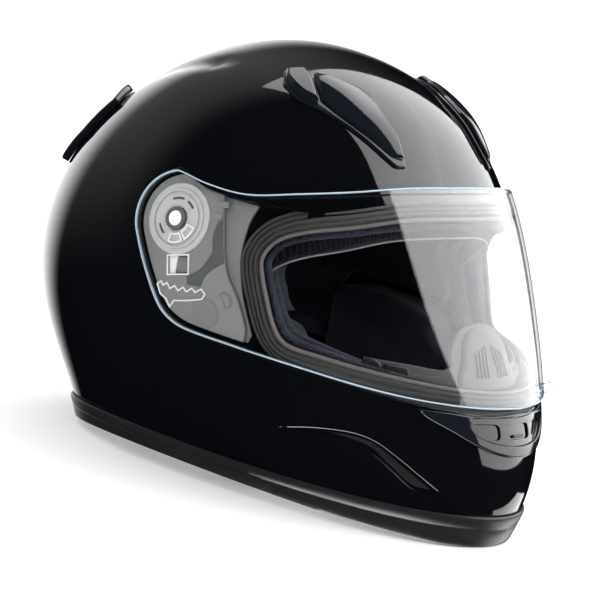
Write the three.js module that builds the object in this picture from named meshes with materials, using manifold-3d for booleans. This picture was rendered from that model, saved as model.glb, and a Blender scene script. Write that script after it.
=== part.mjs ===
// Full-face motorcycle helmet, as an assembly of its real pieces.
// Millimetres. +Z up, the wearer faces -Y, and the wearer's right is -X.
// The origin is under the middle of the helmet, on the surface its rim stands on.
import * as THREE from 'three';
import { mergeVertices } from 'three/addons/utils/BufferGeometryUtils.js';
import Module from 'manifold-3d';

const wasm = await Module();
wasm.setup();

// ---- Driving dimensions ------------------------------------------------

// The shell's outer surface is drawn through three upright profiles, each a list of
// [reach from the upright centre line, height] control points of a smooth curve.
const FRONT_PROFILE = [[0, 256], [43, 249], [79, 232], [107, 204], [129, 168],
  [150, 128], [171, 90], [187, 56], [190, 26], [181, 0]];
const SIDE_PROFILE = [[0, 256], [43, 249], [82, 231], [110, 203], [126, 165],
  [130.5, 123], [125, 85], [110, 51], [96, 25], [91, 8]];
const BACK_PROFILE = [[0, 256], [43, 249], [84, 225], [119, 194], [146, 154],
  [156, 112], [149, 73], [130, 40], [112, 15], [104, 0]];
const CENTRE_Y = 21;            // the upright centre line stands this far back
const SQUARENESS = 0.011;       // how far the plan section is from an ellipse
const STAND_Y = -3.085;         // puts the middle of the whole box over the origin

const SHELL_WALL = 3.5;
const SHELL_END = 8.72;         // row of the surface where the shell itself is cut off
const GAP = 0.4;                // between pieces that touch
const RIM_ARCH = 9;             // the rim rises this much at the sides
const RIM_FLAT = 0.13;          // share of the rim that stays flat at chin and nape

const PIVOT_Y = 10;             // visor pivot, on both sides
const PIVOT_Z = 151;
const VISOR_WALL = 2;
const VISOR_SIDE_OUT = 2.8;     // visor's outer face above the shell at the pivot
const VISOR_END_RADIUS = 26;    // rounded end of the visor arm
const HUB_RADIUS = 6.5;
const VISOR_POCKET_EDGE = 3;    // black gap round the visor's rear and lower edge
const POCKET_FRONT_DEPTH = 3;
const POCKET_SIDE_DEPTH = 9;
const POCKET_WALL = 3;

const INTAKE_CENTRES = [-27, 0, 27];    // three air intakes in the chin
const INTAKE_HALF = 8;
const INTAKE_LOW = 63.5;
const INTAKE_HIGH = 71.5;
const COVER_SLOTS = [[-36, -16], [-12, 12], [16, 36]];  // left and right end of each slot

const FOAM_OUT = -5;            // impact foam, measured from the shell's outer face
const FOAM_IN = -32;
const PAD_IN = -43;             // comfort lining's inner face
const CHEEK_INNER_X = 58;       // flat inner face of a cheek pad
const LINER_SPLIT_Z = 107;      // cheek pads below, crown lining above
const EAR_Y = 34;               // cheek pads end here, neck roll starts behind
const NECK_Z = 40;              // top of the neck roll
const PAD_FLOOR = 4.5;          // the padding shows a little below the arched rim

const MIRROR = new THREE.Matrix4().makeScale(-1, 1, 1);
const DEG = Math.PI / 180;
const FAR = 320;                // larger than the helmet, for cutting blocks

// ---- The shell's surface -----------------------------------------------

const CROWN_TO_RIM = FRONT_PROFILE.length - 1;
const ROWS = [0.5, 1, 1.6, 2.2, 2.8, 3.5, 4.2, 4.9, 5.6, 6.3, 7, 7.7, 8.4, 8.7, 9];
const COLUMNS = 36;
const LINING_ROWS = [0.9, 1.8, 2.8, 3.9, 5, 6.1, 7.2, 8.3, 9];
const LINING_COLUMNS = 24;

// Uniform cubic B-spline through a list of values, level at the crown.
function spline(values, u, odd) {
  const last = values.length - 1;
  const i = Math.min(Math.floor(u), last - 1);
  const t = u - i;
  const at = (k) => {
    if (k < 0) return odd ? -values[1] : values[1];
    return k > last ? 2 * values[last] - values[last - 1] : values[k];
  };
  return ((1 - t) ** 3 * at(i - 1) + (3 * t ** 3 - 6 * t ** 2 + 4) * at(i)
    + (-3 * t ** 3 + 3 * t ** 2 + 3 * t + 1) * at(i + 1) + t ** 3 * at(i + 2)) / 6;
}

const reach = (profile, u) => spline(profile.map((p) => p[0]), u, true);
const height = (profile, u) => spline(profile.map((p) => p[1]), u, false);

// u runs from 0 at the crown to CROWN_TO_RIM; turn is 0 at the front and 90 degrees on the right.
function shellPoint(u, turn) {
  const c = (Math.cos(turn) - SQUARENESS * Math.cos(3 * turn)) / (1 - SQUARENESS);
  const s = (Math.sin(turn) + SQUARENESS * Math.sin(3 * turn)) / (1 - SQUARENESS);
  const front = reach(FRONT_PROFILE, u);
  const back = reach(BACK_PROFILE, u);
  const x = -reach(SIDE_PROFILE, u) * s;
  const y = CENTRE_Y - ((front + back) / 2 * c + (front - back) / 2 * c * c);
  const z = (1 - c * c) * height(SIDE_PROFILE, u)
    + c * c * (1 + c) / 2 * height(FRONT_PROFILE, u)
    + c * c * (1 - c) / 2 * height(BACK_PROFILE, u);
  return new THREE.Vector3(x, y, z);
}

function shellNormal(u, turn) {
  if (u < 0.01) return new THREE.Vector3(0, 0, 1);
  const step = 0.001;
  const top = Math.min(u + step, CROWN_TO_RIM);
  const down = shellPoint(top, turn).sub(shellPoint(u - step, turn));
  const round = shellPoint(u, turn + step).sub(shellPoint(u, turn - step));
  return round.cross(down).normalize();
}

// A point `out` millimetres outside the shell's outer face.
function skinPoint(u, turn, out) {
  const lift = typeof out === 'function' ? out(u, turn) : out;
  return shellPoint(u, turn).addScaledVector(shellNormal(u, turn), lift);
}

// ---- Solids ------------------------------------------------------------

function solidOf(geometry) {
  const bare = geometry.clone();
  bare.deleteAttribute('normal');
  bare.deleteAttribute('uv');
  const merged = mergeVertices(bare, 1e-4);
  return new wasm.Manifold(new wasm.Mesh({
    numProp: 3,
    vertProperties: new Float32Array(merged.attributes.position.array),
    triVerts: new Uint32Array(merged.index.array),
  }));
}

function geometryOf(solid) {
  const mesh = solid.getMesh();
  const geometry = new THREE.BufferGeometry();
  geometry.setAttribute('position', new THREE.BufferAttribute(mesh.vertProperties, 3));
  geometry.setIndex(new THREE.BufferAttribute(mesh.triVerts, 1));
  return geometry;
}

function mirrored(solid) {
  return solid.transform(MIRROR.elements);
}

function surfaceMesh(points, triangles) {
  const geometry = new THREE.BufferGeometry();
  const flat = points.flatMap((p) => [p.x, p.y, p.z]);
  geometry.setAttribute('position', new THREE.Float32BufferAttribute(flat, 3));
  geometry.setIndex(triangles);
  return geometry;
}

// A dome between two distances from the shell's outer face, from the crown to row `end`.
// With no inner distance it is filled solid, down to a floor at that row.
function dome(inner, outer, end = CROWN_TO_RIM, rows = ROWS, columns = COLUMNS) {
  const used = [...rows.filter((u) => u < end - 0.05), end];
  const points = [];
  const triangles = [];
  const ring = (k) => (k % columns + columns) % columns;
  const sheet = (out, flip) => {
    const base = points.length;
    points.push(skinPoint(0, 0, out));
    for (const u of used) {
      for (let k = 0; k < columns; k += 1) points.push(skinPoint(u, 2 * Math.PI * k / columns, out));
    }
    const add = (a, b, c) => triangles.push(...(flip ? [a, b, c] : [a, c, b]));
    const at = (row, k) => base + 1 + row * columns + ring(k);
    for (let k = 0; k < columns; k += 1) add(base, at(0, k), at(0, k + 1));
    for (let row = 0; row + 1 < used.length; row += 1) {
      for (let k = 0; k < columns; k += 1) {
        const [a, b, c, d] = [at(row, k), at(row + 1, k), at(row + 1, k + 1), at(row, k + 1)];
        if (k < columns / 2) {
          add(a, b, c);
          add(a, c, d);
        } else {
          add(a, b, d);
          add(b, c, d);
        }
      }
    }
    return base + 1 + (used.length - 1) * columns;
  };
  const outerRim = sheet(outer, false);
  if (inner === null) {
    const floor = points.length;
    points.push(new THREE.Vector3(0, CENTRE_Y, points[outerRim].z));
    for (let k = 0; k < columns; k += 1) triangles.push(outerRim + k, outerRim + ring(k + 1), floor);
    return solidOf(surfaceMesh(points, triangles));
  }
  const innerRim = sheet(inner, true);
  for (let k = 0; k < columns; k += 1) {
    const next = ring(k + 1);
    triangles.push(outerRim + k, innerRim + next, innerRim + k);
    triangles.push(outerRim + k, outerRim + next, innerRim + next);
  }
  return solidOf(surfaceMesh(points, triangles));
}

// The same for foam and padding, which need fewer facets.
const softDome = (inner, outer, end = CROWN_TO_RIM) => dome(
  inner, outer, end, LINING_ROWS, LINING_COLUMNS);

// Outlines are lists of [a, b]. Extruding along an axis puts a and b on the other two axes:
// along X they are y and z, along Y they are z and x, along Z they are x and y.
const AXES = {
  x: [[0, 1, 0], [0, 0, 1], [1, 0, 0]],
  y: [[0, 0, 1], [1, 0, 0], [0, 1, 0]],
  z: [[1, 0, 0], [0, 1, 0], [0, 0, 1]],
};

function extruded(outline, axis, from, to, holes = []) {
  const shape = new THREE.Shape(outline.map((p) => new THREE.Vector2(...p)));
  for (const hole of holes) shape.holes.push(new THREE.Path(hole.map((p) => new THREE.Vector2(...p))));
  const geometry = new THREE.ExtrudeGeometry(shape, { depth: to - from, bevelEnabled: false });
  geometry.translate(0, 0, from);
  const [a, b, c] = AXES[axis].map((v) => new THREE.Vector3(...v));
  geometry.applyMatrix4(new THREE.Matrix4().makeBasis(a, b, c));
  return solidOf(geometry);
}

function box(low, high) {
  const size = high.map((v, i) => v - low[i]);
  const middle = high.map((v, i) => (v + low[i]) / 2);
  return solidOf(new THREE.BoxGeometry(...size).translate(...middle));
}

// A rod along X through the side-view point (y, z).
function rodAlongX(y, z, radius, from, to, sides = 20) {
  const rod = new THREE.CylinderGeometry(radius, radius, Math.abs(to - from), sides);
  rod.rotateZ(Math.PI / 2).translate((from + to) / 2, y, z);
  return solidOf(rod);
}

function arc(cx, cy, radius, from, to, steps) {
  const points = [];
  for (let i = 0; i <= steps; i += 1) {
    const angle = (from + (to - from) * i / steps) * DEG;
    points.push([cx + radius * Math.cos(angle), cy + radius * Math.sin(angle)]);
  }
  return points;
}

function area(outline) {
  return outline.reduce((sum, [a, b], i) => {
    const [c, d] = outline[(i + 1) % outline.length];
    return sum + (a * d - c * b) / 2;
  }, 0);
}

// Moves every edge of an outline outwards by a distance, or inwards if it is negative.
function grown(outline, distance) {
  const sense = Math.sign(area(outline));
  const count = outline.length;
  return outline.map(([a, b], i) => {
    const [a0, b0] = outline[(i + count - 1) % count];
    const [a1, b1] = outline[(i + 1) % count];
    const before = new THREE.Vector2(b - b0, a0 - a).normalize();
    const after = new THREE.Vector2(b1 - b, a - a1).normalize();
    const middle = before.clone().add(after).normalize();
    const reachOut = sense * distance / Math.max(0.4, middle.dot(after));
    return [a + middle.x * reachOut, b + middle.y * reachOut];
  });
}

const smoothStep = (low, high, value) => THREE.MathUtils.smoothstep(value, low, high);
const sideShare = (turn) => smoothStep(46 * DEG, 64 * DEG, Math.acos(Math.cos(turn)));

// Completes a front-view outline, given as [z, x] for its left half from top to bottom.
const bothHalves = (half) => [...half, ...half.slice().reverse()
  .map(([z, x]) => [z, -x]).filter(([, x]) => x !== 0)];

// ---- Outlines, in side view (y, z) unless they say otherwise -----------

// The visor: a rounded end about the pivot, a long upper edge and a long lower edge.
function visorOutline() {
  return [
    ...arc(PIVOT_Y, PIVOT_Z, VISOR_END_RADIUS, -35, 75, 8),
    [-4, 173.5], [-28, 173], [-53, 179], [-71, 184], [-92, 191], [-FAR, 205],
    [-FAR, 70], [-150, 78], [-127, 82], [-78, 88], [-40, 91], [-9, 93], [1, 96],
    [9, 102], [22, 121],
  ];
}

// The pocket in the shell: 3 mm beyond the visor at its rear and lower edge, flush at its top.
function pocketOutline() {
  return [
    ...arc(PIVOT_Y, PIVOT_Z, VISOR_END_RADIUS + VISOR_POCKET_EDGE, -35, 75, 8),
    [4, 174], [-4, 172], [-28, 171], [-60, 172], [-60, 150], [-FAR, 150],
    [-FAR, 67], [-150, 75], [-127, 79], [-78, 85], [-40, 88], [-8, 90], [3, 93],
    [12, 100], [25, 119],
  ];
}

// The eye opening's cut edge.
const EYEPORT = [
  [-FAR, 193], [-96, 183], [-76, 174], [-58, 167], [-47, 160], [-41, 151], [-39, 141],
  [-42, 130], [-47, 118], [-53, 104], [-59, 95], [-67, 90], [-82, 88], [-120, 84], [-FAR, 76],
];

const CHIN_VENT = bothHalves([
  [74.5, 0], [76, 30], [77, 50], [77, 62], [73, 58], [67, 46], [61, 34], [56, 20], [53.5, 0],
]);

const BREATH_GUARD = bothHalves([
  [126, 0], [125.5, 8], [122, 19], [112, 29], [101, 33], [101, 60], [99, 80], [80, 80],
  [72, 60], [72, 0],
]);

const SIDE_INSERT = [[-116, 54], [-122, 52], [-147, 33], [-141, 31], [-128, 40]];

// Plan view (x, y) of the forehead vent on the right; the slider is in front, the scoop behind.
const VENT_SLIDER = [[-56, -14], [-67, -30], [-65, -42], [-59, -57], [-50, -72], [-43, -76],
  [-41, -68], [-42, -58], [-39, -43], [-43, -34]];
const VENT_SCOOP = [[-64, 0], [-70, -6], [-73, -20], [-70, -33], [-68.2, -29], [-58, -13],
  [-56, -8]];
const VENT_BASE = [[-63, 2], [-72, -6], [-75, -20], [-69, -39], [-60, -60], [-50, -76],
  [-43, -79], [-39.5, -68], [-40, -58], [-36.5, -43], [-41, -32], [-54, -8]];

const REAR_VENT = [[-50, 126], [-60, 112], [-80, 104], [-84, 120], [-77, 138], [-58, 148], [-50, 140]];

// ---- Shell and its trims -----------------------------------------------

const pocketFloor = (u, turn) => -(POCKET_FRONT_DEPTH
  + (POCKET_SIDE_DEPTH - POCKET_FRONT_DEPTH) * sideShare(turn));
const pocketBack = (u, turn) => pocketFloor(u, turn) - POCKET_WALL;

function visorOuter(u, turn) {
  const facing = Math.max(0, Math.cos(turn)) ** 1.5;
  return VISOR_SIDE_OUT + facing * (1.7 + 1.5 * THREE.MathUtils.clamp((6.5 - u) / 3, 0, 1));
}

const visorInner = (u, turn) => visorOuter(u, turn) - VISOR_WALL;

function outerShell() {
  const wall = dome(-SHELL_WALL, 0, SHELL_END);
  const pocket = pocketOutline();
  const backing = dome(pocketBack, -0.5, SHELL_END).intersect(
    extruded(grown(pocket, POCKET_WALL), 'x', -FAR, FAR));
  const hollow = dome(pocketFloor, 12, SHELL_END).intersect(extruded(pocket, 'x', -FAR, FAR));
  const intakes = INTAKE_CENTRES.map((x) => box(
    [x - INTAKE_HALF, -FAR, INTAKE_LOW], [x + INTAKE_HALF, -60, INTAKE_HIGH]));
  const insertSeat = dome(-2.2, 4, SHELL_END).intersect(extruded(SIDE_INSERT, 'x', -FAR, FAR));
  let shell = wall.add(backing).subtract(hollow).subtract(insertSeat);
  for (const hole of intakes) shell = shell.subtract(hole);
  return shell.subtract(extruded(EYEPORT, 'x', -FAR, FAR));
}

function eyeportGasket() {
  const band = dome((u, turn) => pocketBack(u, turn) - 1, (u, turn) => visorInner(u, turn) - 0.8);
  const edge = grown(EYEPORT, -GAP);
  const lip = grown(EYEPORT, -7);
  return band.intersect(extruded(edge, 'x', -FAR, FAR)).subtract(extruded(lip, 'x', -FAR, FAR));
}

function rimHeight(turn) {
  const side = Math.max(0, Math.sin(turn) ** 2 - RIM_FLAT) / (1 - RIM_FLAT);
  return RIM_ARCH * side;
}

// A U-shaped edging round the shell's rim, flat underneath at the chin and the nape.
function bottomTrim() {
  const section = [
    [2.2, 8.3], [2.2, 9], [-6.2, 9], [-6.2, 8.35], [-3.9, 8.35], [-3.9, 8.8], [GAP, 8.8], [GAP, 8.3],
  ];
  const points = [];
  const triangles = [];
  for (let k = 0; k < COLUMNS; k += 1) {
    const turn = 2 * Math.PI * k / COLUMNS;
    for (const [out, u] of section) {
      const p = skinPoint(u, turn, out);
      if (u === 9) p.z = rimHeight(turn);
      points.push(p);
    }
  }
  const sides = section.length;
  for (let k = 0; k < COLUMNS; k += 1) {
    const next = (k + 1) % COLUMNS;
    for (let i = 0; i < sides; i += 1) {
      const j = (i + 1) % sides;
      triangles.push(k * sides + i, next * sides + j, k * sides + j);
      triangles.push(k * sides + i, next * sides + i, next * sides + j);
    }
  }
  return solidOf(surfaceMesh(points, triangles));
}

// ---- Visor and its mechanism -------------------------------------------

function visor() {
  const pane = dome(visorInner, visorOuter).intersect(extruded(visorOutline(), 'x', -FAR, FAR));
  const hole = rodAlongX(PIVOT_Y, PIVOT_Z, HUB_RADIUS + 0.6, -FAR, FAR);
  const tab = dome((u, turn) => visorOuter(u, turn) - 0.6, (u, turn) => visorOuter(u, turn) + 7)
    .intersect(box([26, -FAR, 84], [42, -100, 88]));
  return pane.subtract(hole).add(tab);
}

function basePlate() {
  const outline = [
    ...arc(PIVOT_Y, PIVOT_Z, VISOR_END_RADIUS - 1, -30, 75, 7),
    [-4, 170], [-13, 170], [-20, 152], [-27, 130], [-37, 116], [-44, 100], [-43, 94.5],
    [-9, 95.5], [0, 98.5], [8, 104], [19, 121],
  ];
  const plate = dome((u, turn) => pocketFloor(u, turn) + GAP, -5.6)
    .intersect(extruded(outline, 'x', -FAR, -60));
  return plate
    .subtract(dome(-6.6, 6).intersect(rodAlongX(PIVOT_Y, PIVOT_Z, HUB_RADIUS + GAP, -FAR, -60)))
    .subtract(releaseGuide(1.2, 6));
}

// The slot in the plate that the release lever slides in, and the lever's travel along it.
const LEVER_TRAVEL = 3;
function releaseGuide(extraTravel, half) {
  return dome(-7.4, 6).intersect(box(
    [-FAR, PIVOT_Y - half - 0.6, PIVOT_Z - 34 - LEVER_TRAVEL - extraTravel],
    [-60, PIVOT_Y + half + 0.6, PIVOT_Z - 17]));
}

function visorHub() {
  return rodAlongX(PIVOT_Y, PIVOT_Z, HUB_RADIUS, -FAR, -60)
    .intersect(dome(-6.2, VISOR_SIDE_OUT + 0.6));
}

function releaseLever() {
  return dome(-6.9, -4.6).intersect(box(
    [-FAR, PIVOT_Y - 5, PIVOT_Z - 34], [-60, PIVOT_Y + 5, PIVOT_Z - 18]));
}

// A toothed arc below the pivot that holds the visor at its steps.
function detentRack() {
  const teeth = 6;
  const outer = arc(PIVOT_Y, PIVOT_Z, 46, -120, -88, 6);
  const inner = [];
  for (let i = 0; i <= 2 * teeth; i += 1) {
    const angle = (-88 - 32 * i / (2 * teeth)) * DEG;
    const r = i % 2 ? 40 : 42.5;
    inner.push([PIVOT_Y + r * Math.cos(angle), PIVOT_Z + r * Math.sin(angle)]);
  }
  return dome(-5.2, -3.9).intersect(extruded([...outer, ...inner], 'x', -FAR, -60));
}

function plateScrew(y, z) {
  const head = dome(-5.2, -3.7).intersect(rodAlongX(y, z, 4, -FAR, -60, 12));
  const slot = dome(-4.4, 0).intersect(box([-FAR, y - 0.6, z - 5], [-60, y + 0.6, z + 5]));
  return head.subtract(slot);
}

// ---- Vents -------------------------------------------------------------

function ventBase() {
  const foot = dome(GAP, 1.8).intersect(extruded(VENT_BASE, 'z', 120, 300));
  const scoop = dome(1, 6.4).intersect(extruded(VENT_SCOOP, 'z', 120, 300));
  return foot.add(scoop);
}

function ventSlider() {
  const top = (u) => 3.2 + 3.2 * smoothStep(3.2, 2.2, u);
  return dome(2.4, top).intersect(extruded(grown(VENT_SLIDER, -0.3), 'z', 120, 300));
}

function rearVent() {
  const top = (u, turn) => 1.5 + 4 * smoothStep(100 * DEG, 150 * DEG, Math.acos(Math.cos(turn)));
  return dome(GAP, top).intersect(extruded(REAR_VENT, 'z', 120, 300));
}

function chinVentCover() {
  let cover = dome(GAP, 2.6).intersect(extruded(CHIN_VENT, 'y', -FAR, -60));
  for (const [left, right] of COVER_SLOTS) {
    cover = cover.subtract(box([left, -FAR, INTAKE_LOW], [right, -60, INTAKE_HIGH]));
  }
  return cover;
}

// A plate behind the shell's three intakes, moved by a small tab in the middle one.
function chinShutter() {
  const plate = dome(-9.2, -6.9).intersect(box([-38, -FAR, 61], [38, -60, 74]));
  const tab = dome(-7.4, 1.6).intersect(box([-5, -FAR, 64.3], [5, -60, 66.1]));
  return plate.add(tab);
}

const sideInsert = () => dome(-1.9, -0.5)
  .intersect(extruded(grown(SIDE_INSERT, -GAP), 'x', -FAR, -20));

// ---- Lining ------------------------------------------------------------

const behindEyeport = (distance) => extruded(grown(EYEPORT, distance), 'x', -FAR, FAR);
const cheekZone = () => box([-FAR, -FAR, -50], [FAR, EAR_Y - 1, LINER_SPLIT_Z + 1]);

function impactLiner() {
  const deepPocket = dome(-POCKET_SIDE_DEPTH - POCKET_WALL - 0.7, 0)
    .intersect(extruded(grown(pocketOutline(), POCKET_WALL + 1), 'x', -FAR, FAR));
  const below = box([-FAR, -FAR, -50], [FAR, FAR, NECK_Z + 8]);
  return softDome(FOAM_IN, FOAM_OUT, 8.3).subtract(deepPocket).subtract(behindEyeport(7))
    .subtract(cheekZone()).subtract(below);
}

function chinLiner() {
  return softDome(-25, -11, 8.3).intersect(box([-FAR, -FAR, 14], [FAR, -86, 70]));
}

// The lining covers the foam inside and turns round its edge at the eye opening.
function crownPad() {
  const turned = softDome(PAD_IN, (u, turn) => pocketBack(u, turn) - 2.5, 7.2)
    .intersect(behindEyeport(6.5));
  return softDome(PAD_IN, FOAM_IN - GAP, 7.2).add(turned).subtract(behindEyeport(1.2))
    .subtract(cheekZone());
}

function cheekPad() {
  const outline = [[-84, PAD_FLOOR], [EAR_Y - 10, PAD_FLOOR], [EAR_Y - 4, 60],
    [EAR_Y - 4, LINER_SPLIT_Z], [-84, LINER_SPLIT_Z]];
  return softDome(null, (u, turn) => pocketBack(u, turn) - 2.5)
    .intersect(extruded(outline, 'x', -FAR, -CHEEK_INNER_X))
    .subtract(behindEyeport(1.2));
}

function neckRoll() {
  return softDome(-30, -9).intersect(box([-FAR, EAR_Y + 14, PAD_FLOOR], [FAR, FAR, NECK_Z]));
}

const breathGuard = () => dome(-13.5, -11).intersect(extruded(BREATH_GUARD, 'y', -FAR, -60));

// ---- Retention strap ---------------------------------------------------

const STRAP_LOW = 16;
const STRAP_HIGH = 40;
const STRAP_THICK = 1.8;
const STRAP_Y = EAR_Y + 4;      // the strap leaves its anchor between cheek pad and neck roll
const STRAP_X = CHEEK_INNER_X - 1.6;
const ANCHOR_X = 84;
const RING_AXIS = [-(STRAP_X - 5.4), -24];

// A strap in plan view: from its anchor inwards, then forwards along the cheek pad.
function strapPath(frontY) {
  const t = STRAP_THICK / 2;
  return [
    [-ANCHOR_X, STRAP_Y + t], [-STRAP_X - 3, STRAP_Y + t], [-STRAP_X + t, STRAP_Y - 6],
    [-STRAP_X + t, frontY], [-STRAP_X - t, frontY], [-STRAP_X - t, STRAP_Y - 6],
    [-STRAP_X - 3.6, STRAP_Y - t], [-ANCHOR_X, STRAP_Y - t],
  ];
}

function shortStrap() {
  const [x, y] = RING_AXIS;
  const strap = extruded(strapPath(y), 'z', STRAP_LOW, STRAP_HIGH);
  const loop = extruded(arc(x, y, 6.2, 0, 337.5, 15), 'z', STRAP_LOW, STRAP_HIGH);
  const eye = extruded(arc(x, y, 4.7, 0, 337.5, 15), 'z', STRAP_LOW - 5, STRAP_HIGH + 5);
  return strap.add(loop).subtract(eye);
}

const longStrap = () => mirrored(extruded(strapPath(-66), 'z', STRAP_LOW, STRAP_HIGH));

// A D-shaped ring, with its straight bar upright in the strap's loop.
function dRing(offset) {
  const [x, y] = RING_AXIS;
  const wire = 1.6;
  const middle = (STRAP_LOW + STRAP_HIGH) / 2;
  const half = (STRAP_HIGH - STRAP_LOW) / 2 + 2 * wire + 0.5;
  const bow = (inset) => [
    [y + wire - inset, middle + half - inset], ...arc(y - 8, middle, half - inset, 90, 270, 10),
    [y + wire - inset, middle - half + inset],
  ];
  return extruded(bow(0), 'x', x + offset - wire, x + offset + wire, [bow(2 * wire)]);
}

// A riveted steel tab that holds the strap to the shell.
function strapAnchor() {
  const plate = box([-ANCHOR_X - 2.6, STRAP_Y - 8, STRAP_LOW + 4],
    [-ANCHOR_X - GAP, STRAP_Y + 8, STRAP_HIGH + 6]);
  const rivet = rodAlongX(STRAP_Y, STRAP_HIGH, 4, -FAR, -ANCHOR_X - 2, 12)
    .intersect(dome(null, -SHELL_WALL - GAP));
  return plate.add(rivet);
}

// ---- The assembly ------------------------------------------------------

const finish = (color, roughness, metalness = 0, extra = {}) => new THREE.MeshStandardMaterial(
  { color, roughness, metalness, ...extra });
const FINISHES = {
  gloss: finish(0x07080b, 0.08),
  clear: finish(0xdfe8ee, 0.04, 0, { transparent: true, opacity: 0.3 }),
  plate: finish(0x6f7275, 0.4),
  darkPlastic: finish(0x1c1d20, 0.5),
  rubber: finish(0x26272a, 0.8),
  foam: finish(0x2a2b2e, 0.95),
  lining: finish(0x141a33, 0.95),
  webbing: finish(0x121214, 0.9),
  steel: finish(0xb9bbbf, 0.3, 1),
};

const helmet = new THREE.Group();
helmet.position.y = STAND_Y;

function place(name, solid, look) {
  const mesh = new THREE.Mesh(geometryOf(solid), FINISHES[look]);
  mesh.name = name;
  helmet.add(mesh);
}

function placePair(name, solid, look) {
  place(`${name}_right`, solid, look);
  place(`${name}_left`, mirrored(solid), look);
}

place('outer_shell', outerShell(), 'gloss');
place('eyeport_gasket', eyeportGasket(), 'rubber');
place('bottom_trim', bottomTrim(), 'darkPlastic');
place('visor', visor(), 'clear');
placePair('visor_base_plate', basePlate(), 'plate');
placePair('visor_hub', visorHub(), 'plate');
placePair('visor_release_lever', releaseLever(), 'plate');
placePair('visor_detent_rack', detentRack(), 'plate');
placePair('plate_screw', plateScrew(-30, 113), 'plate');
placePair('forehead_vent_base', ventBase(), 'gloss');
placePair('forehead_vent_slider', ventSlider(), 'gloss');
placePair('rear_vent', rearVent(), 'gloss');
place('chin_vent_cover', chinVentCover(), 'gloss');
place('chin_vent_shutter', chinShutter(), 'darkPlastic');
placePair('side_vent_insert', sideInsert(), 'darkPlastic');
place('impact_liner', impactLiner(), 'foam');
place('chin_liner', chinLiner(), 'foam');
place('crown_pad', crownPad(), 'lining');
placePair('cheek_pad', cheekPad(), 'lining');
place('neck_roll', neckRoll(), 'lining');
place('breath_guard', breathGuard(), 'darkPlastic');
placePair('strap_anchor', strapAnchor(), 'steel');
place('chin_strap_short', shortStrap(), 'webbing');
place('chin_strap_long', longStrap(), 'webbing');
place('d_ring_outer', dRing(-2.1), 'steel');
place('d_ring_inner', dRing(2.1), 'steel');

export default helmet;
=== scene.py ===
"""The looks of the full-face motorcycle helmet: fine meshes, padding, materials, light and camera.

Lengths are millimetres in the shell's own frame, as in the CAD source, until `put` turns them
into metres in the row frame. A place on the shell is (u, turn): u runs from 0 at the crown to
9 at the rim, and turn from 0 at the front to pi/2 on the wearer's right.
"""
import math

import bpy
import numpy as np
from mathutils import Matrix, Vector
from mathutils.geometry import delaunay_2d_cdt


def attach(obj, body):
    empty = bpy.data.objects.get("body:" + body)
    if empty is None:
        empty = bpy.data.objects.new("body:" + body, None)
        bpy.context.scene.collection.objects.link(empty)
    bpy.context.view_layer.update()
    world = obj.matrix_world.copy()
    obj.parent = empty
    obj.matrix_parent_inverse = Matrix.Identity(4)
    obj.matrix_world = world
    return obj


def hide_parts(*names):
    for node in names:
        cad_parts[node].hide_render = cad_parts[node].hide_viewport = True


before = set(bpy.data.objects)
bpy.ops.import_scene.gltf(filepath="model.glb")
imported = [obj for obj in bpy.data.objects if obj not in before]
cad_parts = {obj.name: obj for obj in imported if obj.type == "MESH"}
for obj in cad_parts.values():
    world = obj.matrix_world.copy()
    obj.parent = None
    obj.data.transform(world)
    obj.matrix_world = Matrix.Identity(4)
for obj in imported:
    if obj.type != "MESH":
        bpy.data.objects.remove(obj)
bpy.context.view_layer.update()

# ---- Driving dimensions, as in the CAD ---------------------------------

FRONT = [(0, 256), (43, 249), (79, 232), (107, 204), (129, 168),
         (150, 128), (171, 90), (187, 56), (190, 26), (181, 0)]
SIDE = [(0, 256), (43, 249), (82, 231), (110, 203), (126, 165),
        (130.5, 123), (125, 85), (110, 51), (96, 25), (91, 8)]
BACK = [(0, 256), (43, 249), (84, 225), (119, 194), (146, 154),
        (156, 112), (149, 73), (130, 40), (112, 15), (104, 0)]
CENTRE_Y = 21.0
SQUARENESS = 0.011
STAND_Y = -3.085
RIM = len(FRONT) - 1
U_LENGTH = 28.0                 # millimetres of surface per unit of u, roughly

PIVOT = (10.0, 151.0)           # visor pivot in side view (y, z)
VISOR_WALL = 2.0
VISOR_SIDE_OUT = 2.8
VISOR_END_RADIUS = 26.0
HUB_RADIUS = 6.5
POCKET_FRONT, POCKET_SIDE = 3.0, 9.0
SHELL_WALL = 3.2
DEG = math.pi / 180


# ---- The shell's surface -----------------------------------------------

def spline(values, u, odd):
    """Uniform cubic B-spline, level at the crown and ending on its last value."""
    values = np.asarray(values, float)
    before = -values[1] if odd else values[1]
    padded = np.concatenate([[before], values, [2 * values[-1] - values[-2]]])
    i = np.clip(np.floor(u).astype(int), 0, len(values) - 2)
    t = u - i
    a, b, c, d = (padded[i + k] for k in range(4))
    return ((1 - t) ** 3 * a + (3 * t ** 3 - 6 * t ** 2 + 4) * b
            + (-3 * t ** 3 + 3 * t ** 2 + 3 * t + 1) * c + t ** 3 * d) / 6


def surface_by_cosine(u, c, s):
    reach = {k: spline([p[0] for p in row], u, True) for k, row in
             (("front", FRONT), ("side", SIDE), ("back", BACK))}
    rise = {k: spline([p[1] for p in row], u, False) for k, row in
            (("front", FRONT), ("side", SIDE), ("back", BACK))}
    middle = (reach["front"] + reach["back"]) / 2
    lead = (reach["front"] - reach["back"]) / 2
    x = -reach["side"] * s
    y = CENTRE_Y - (middle * c + lead * c * c)
    z = ((1 - c * c) * rise["side"] + c * c * (1 + c) / 2 * rise["front"]
         + c * c * (1 - c) / 2 * rise["back"])
    return np.stack([x, y, z], -1)


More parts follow.
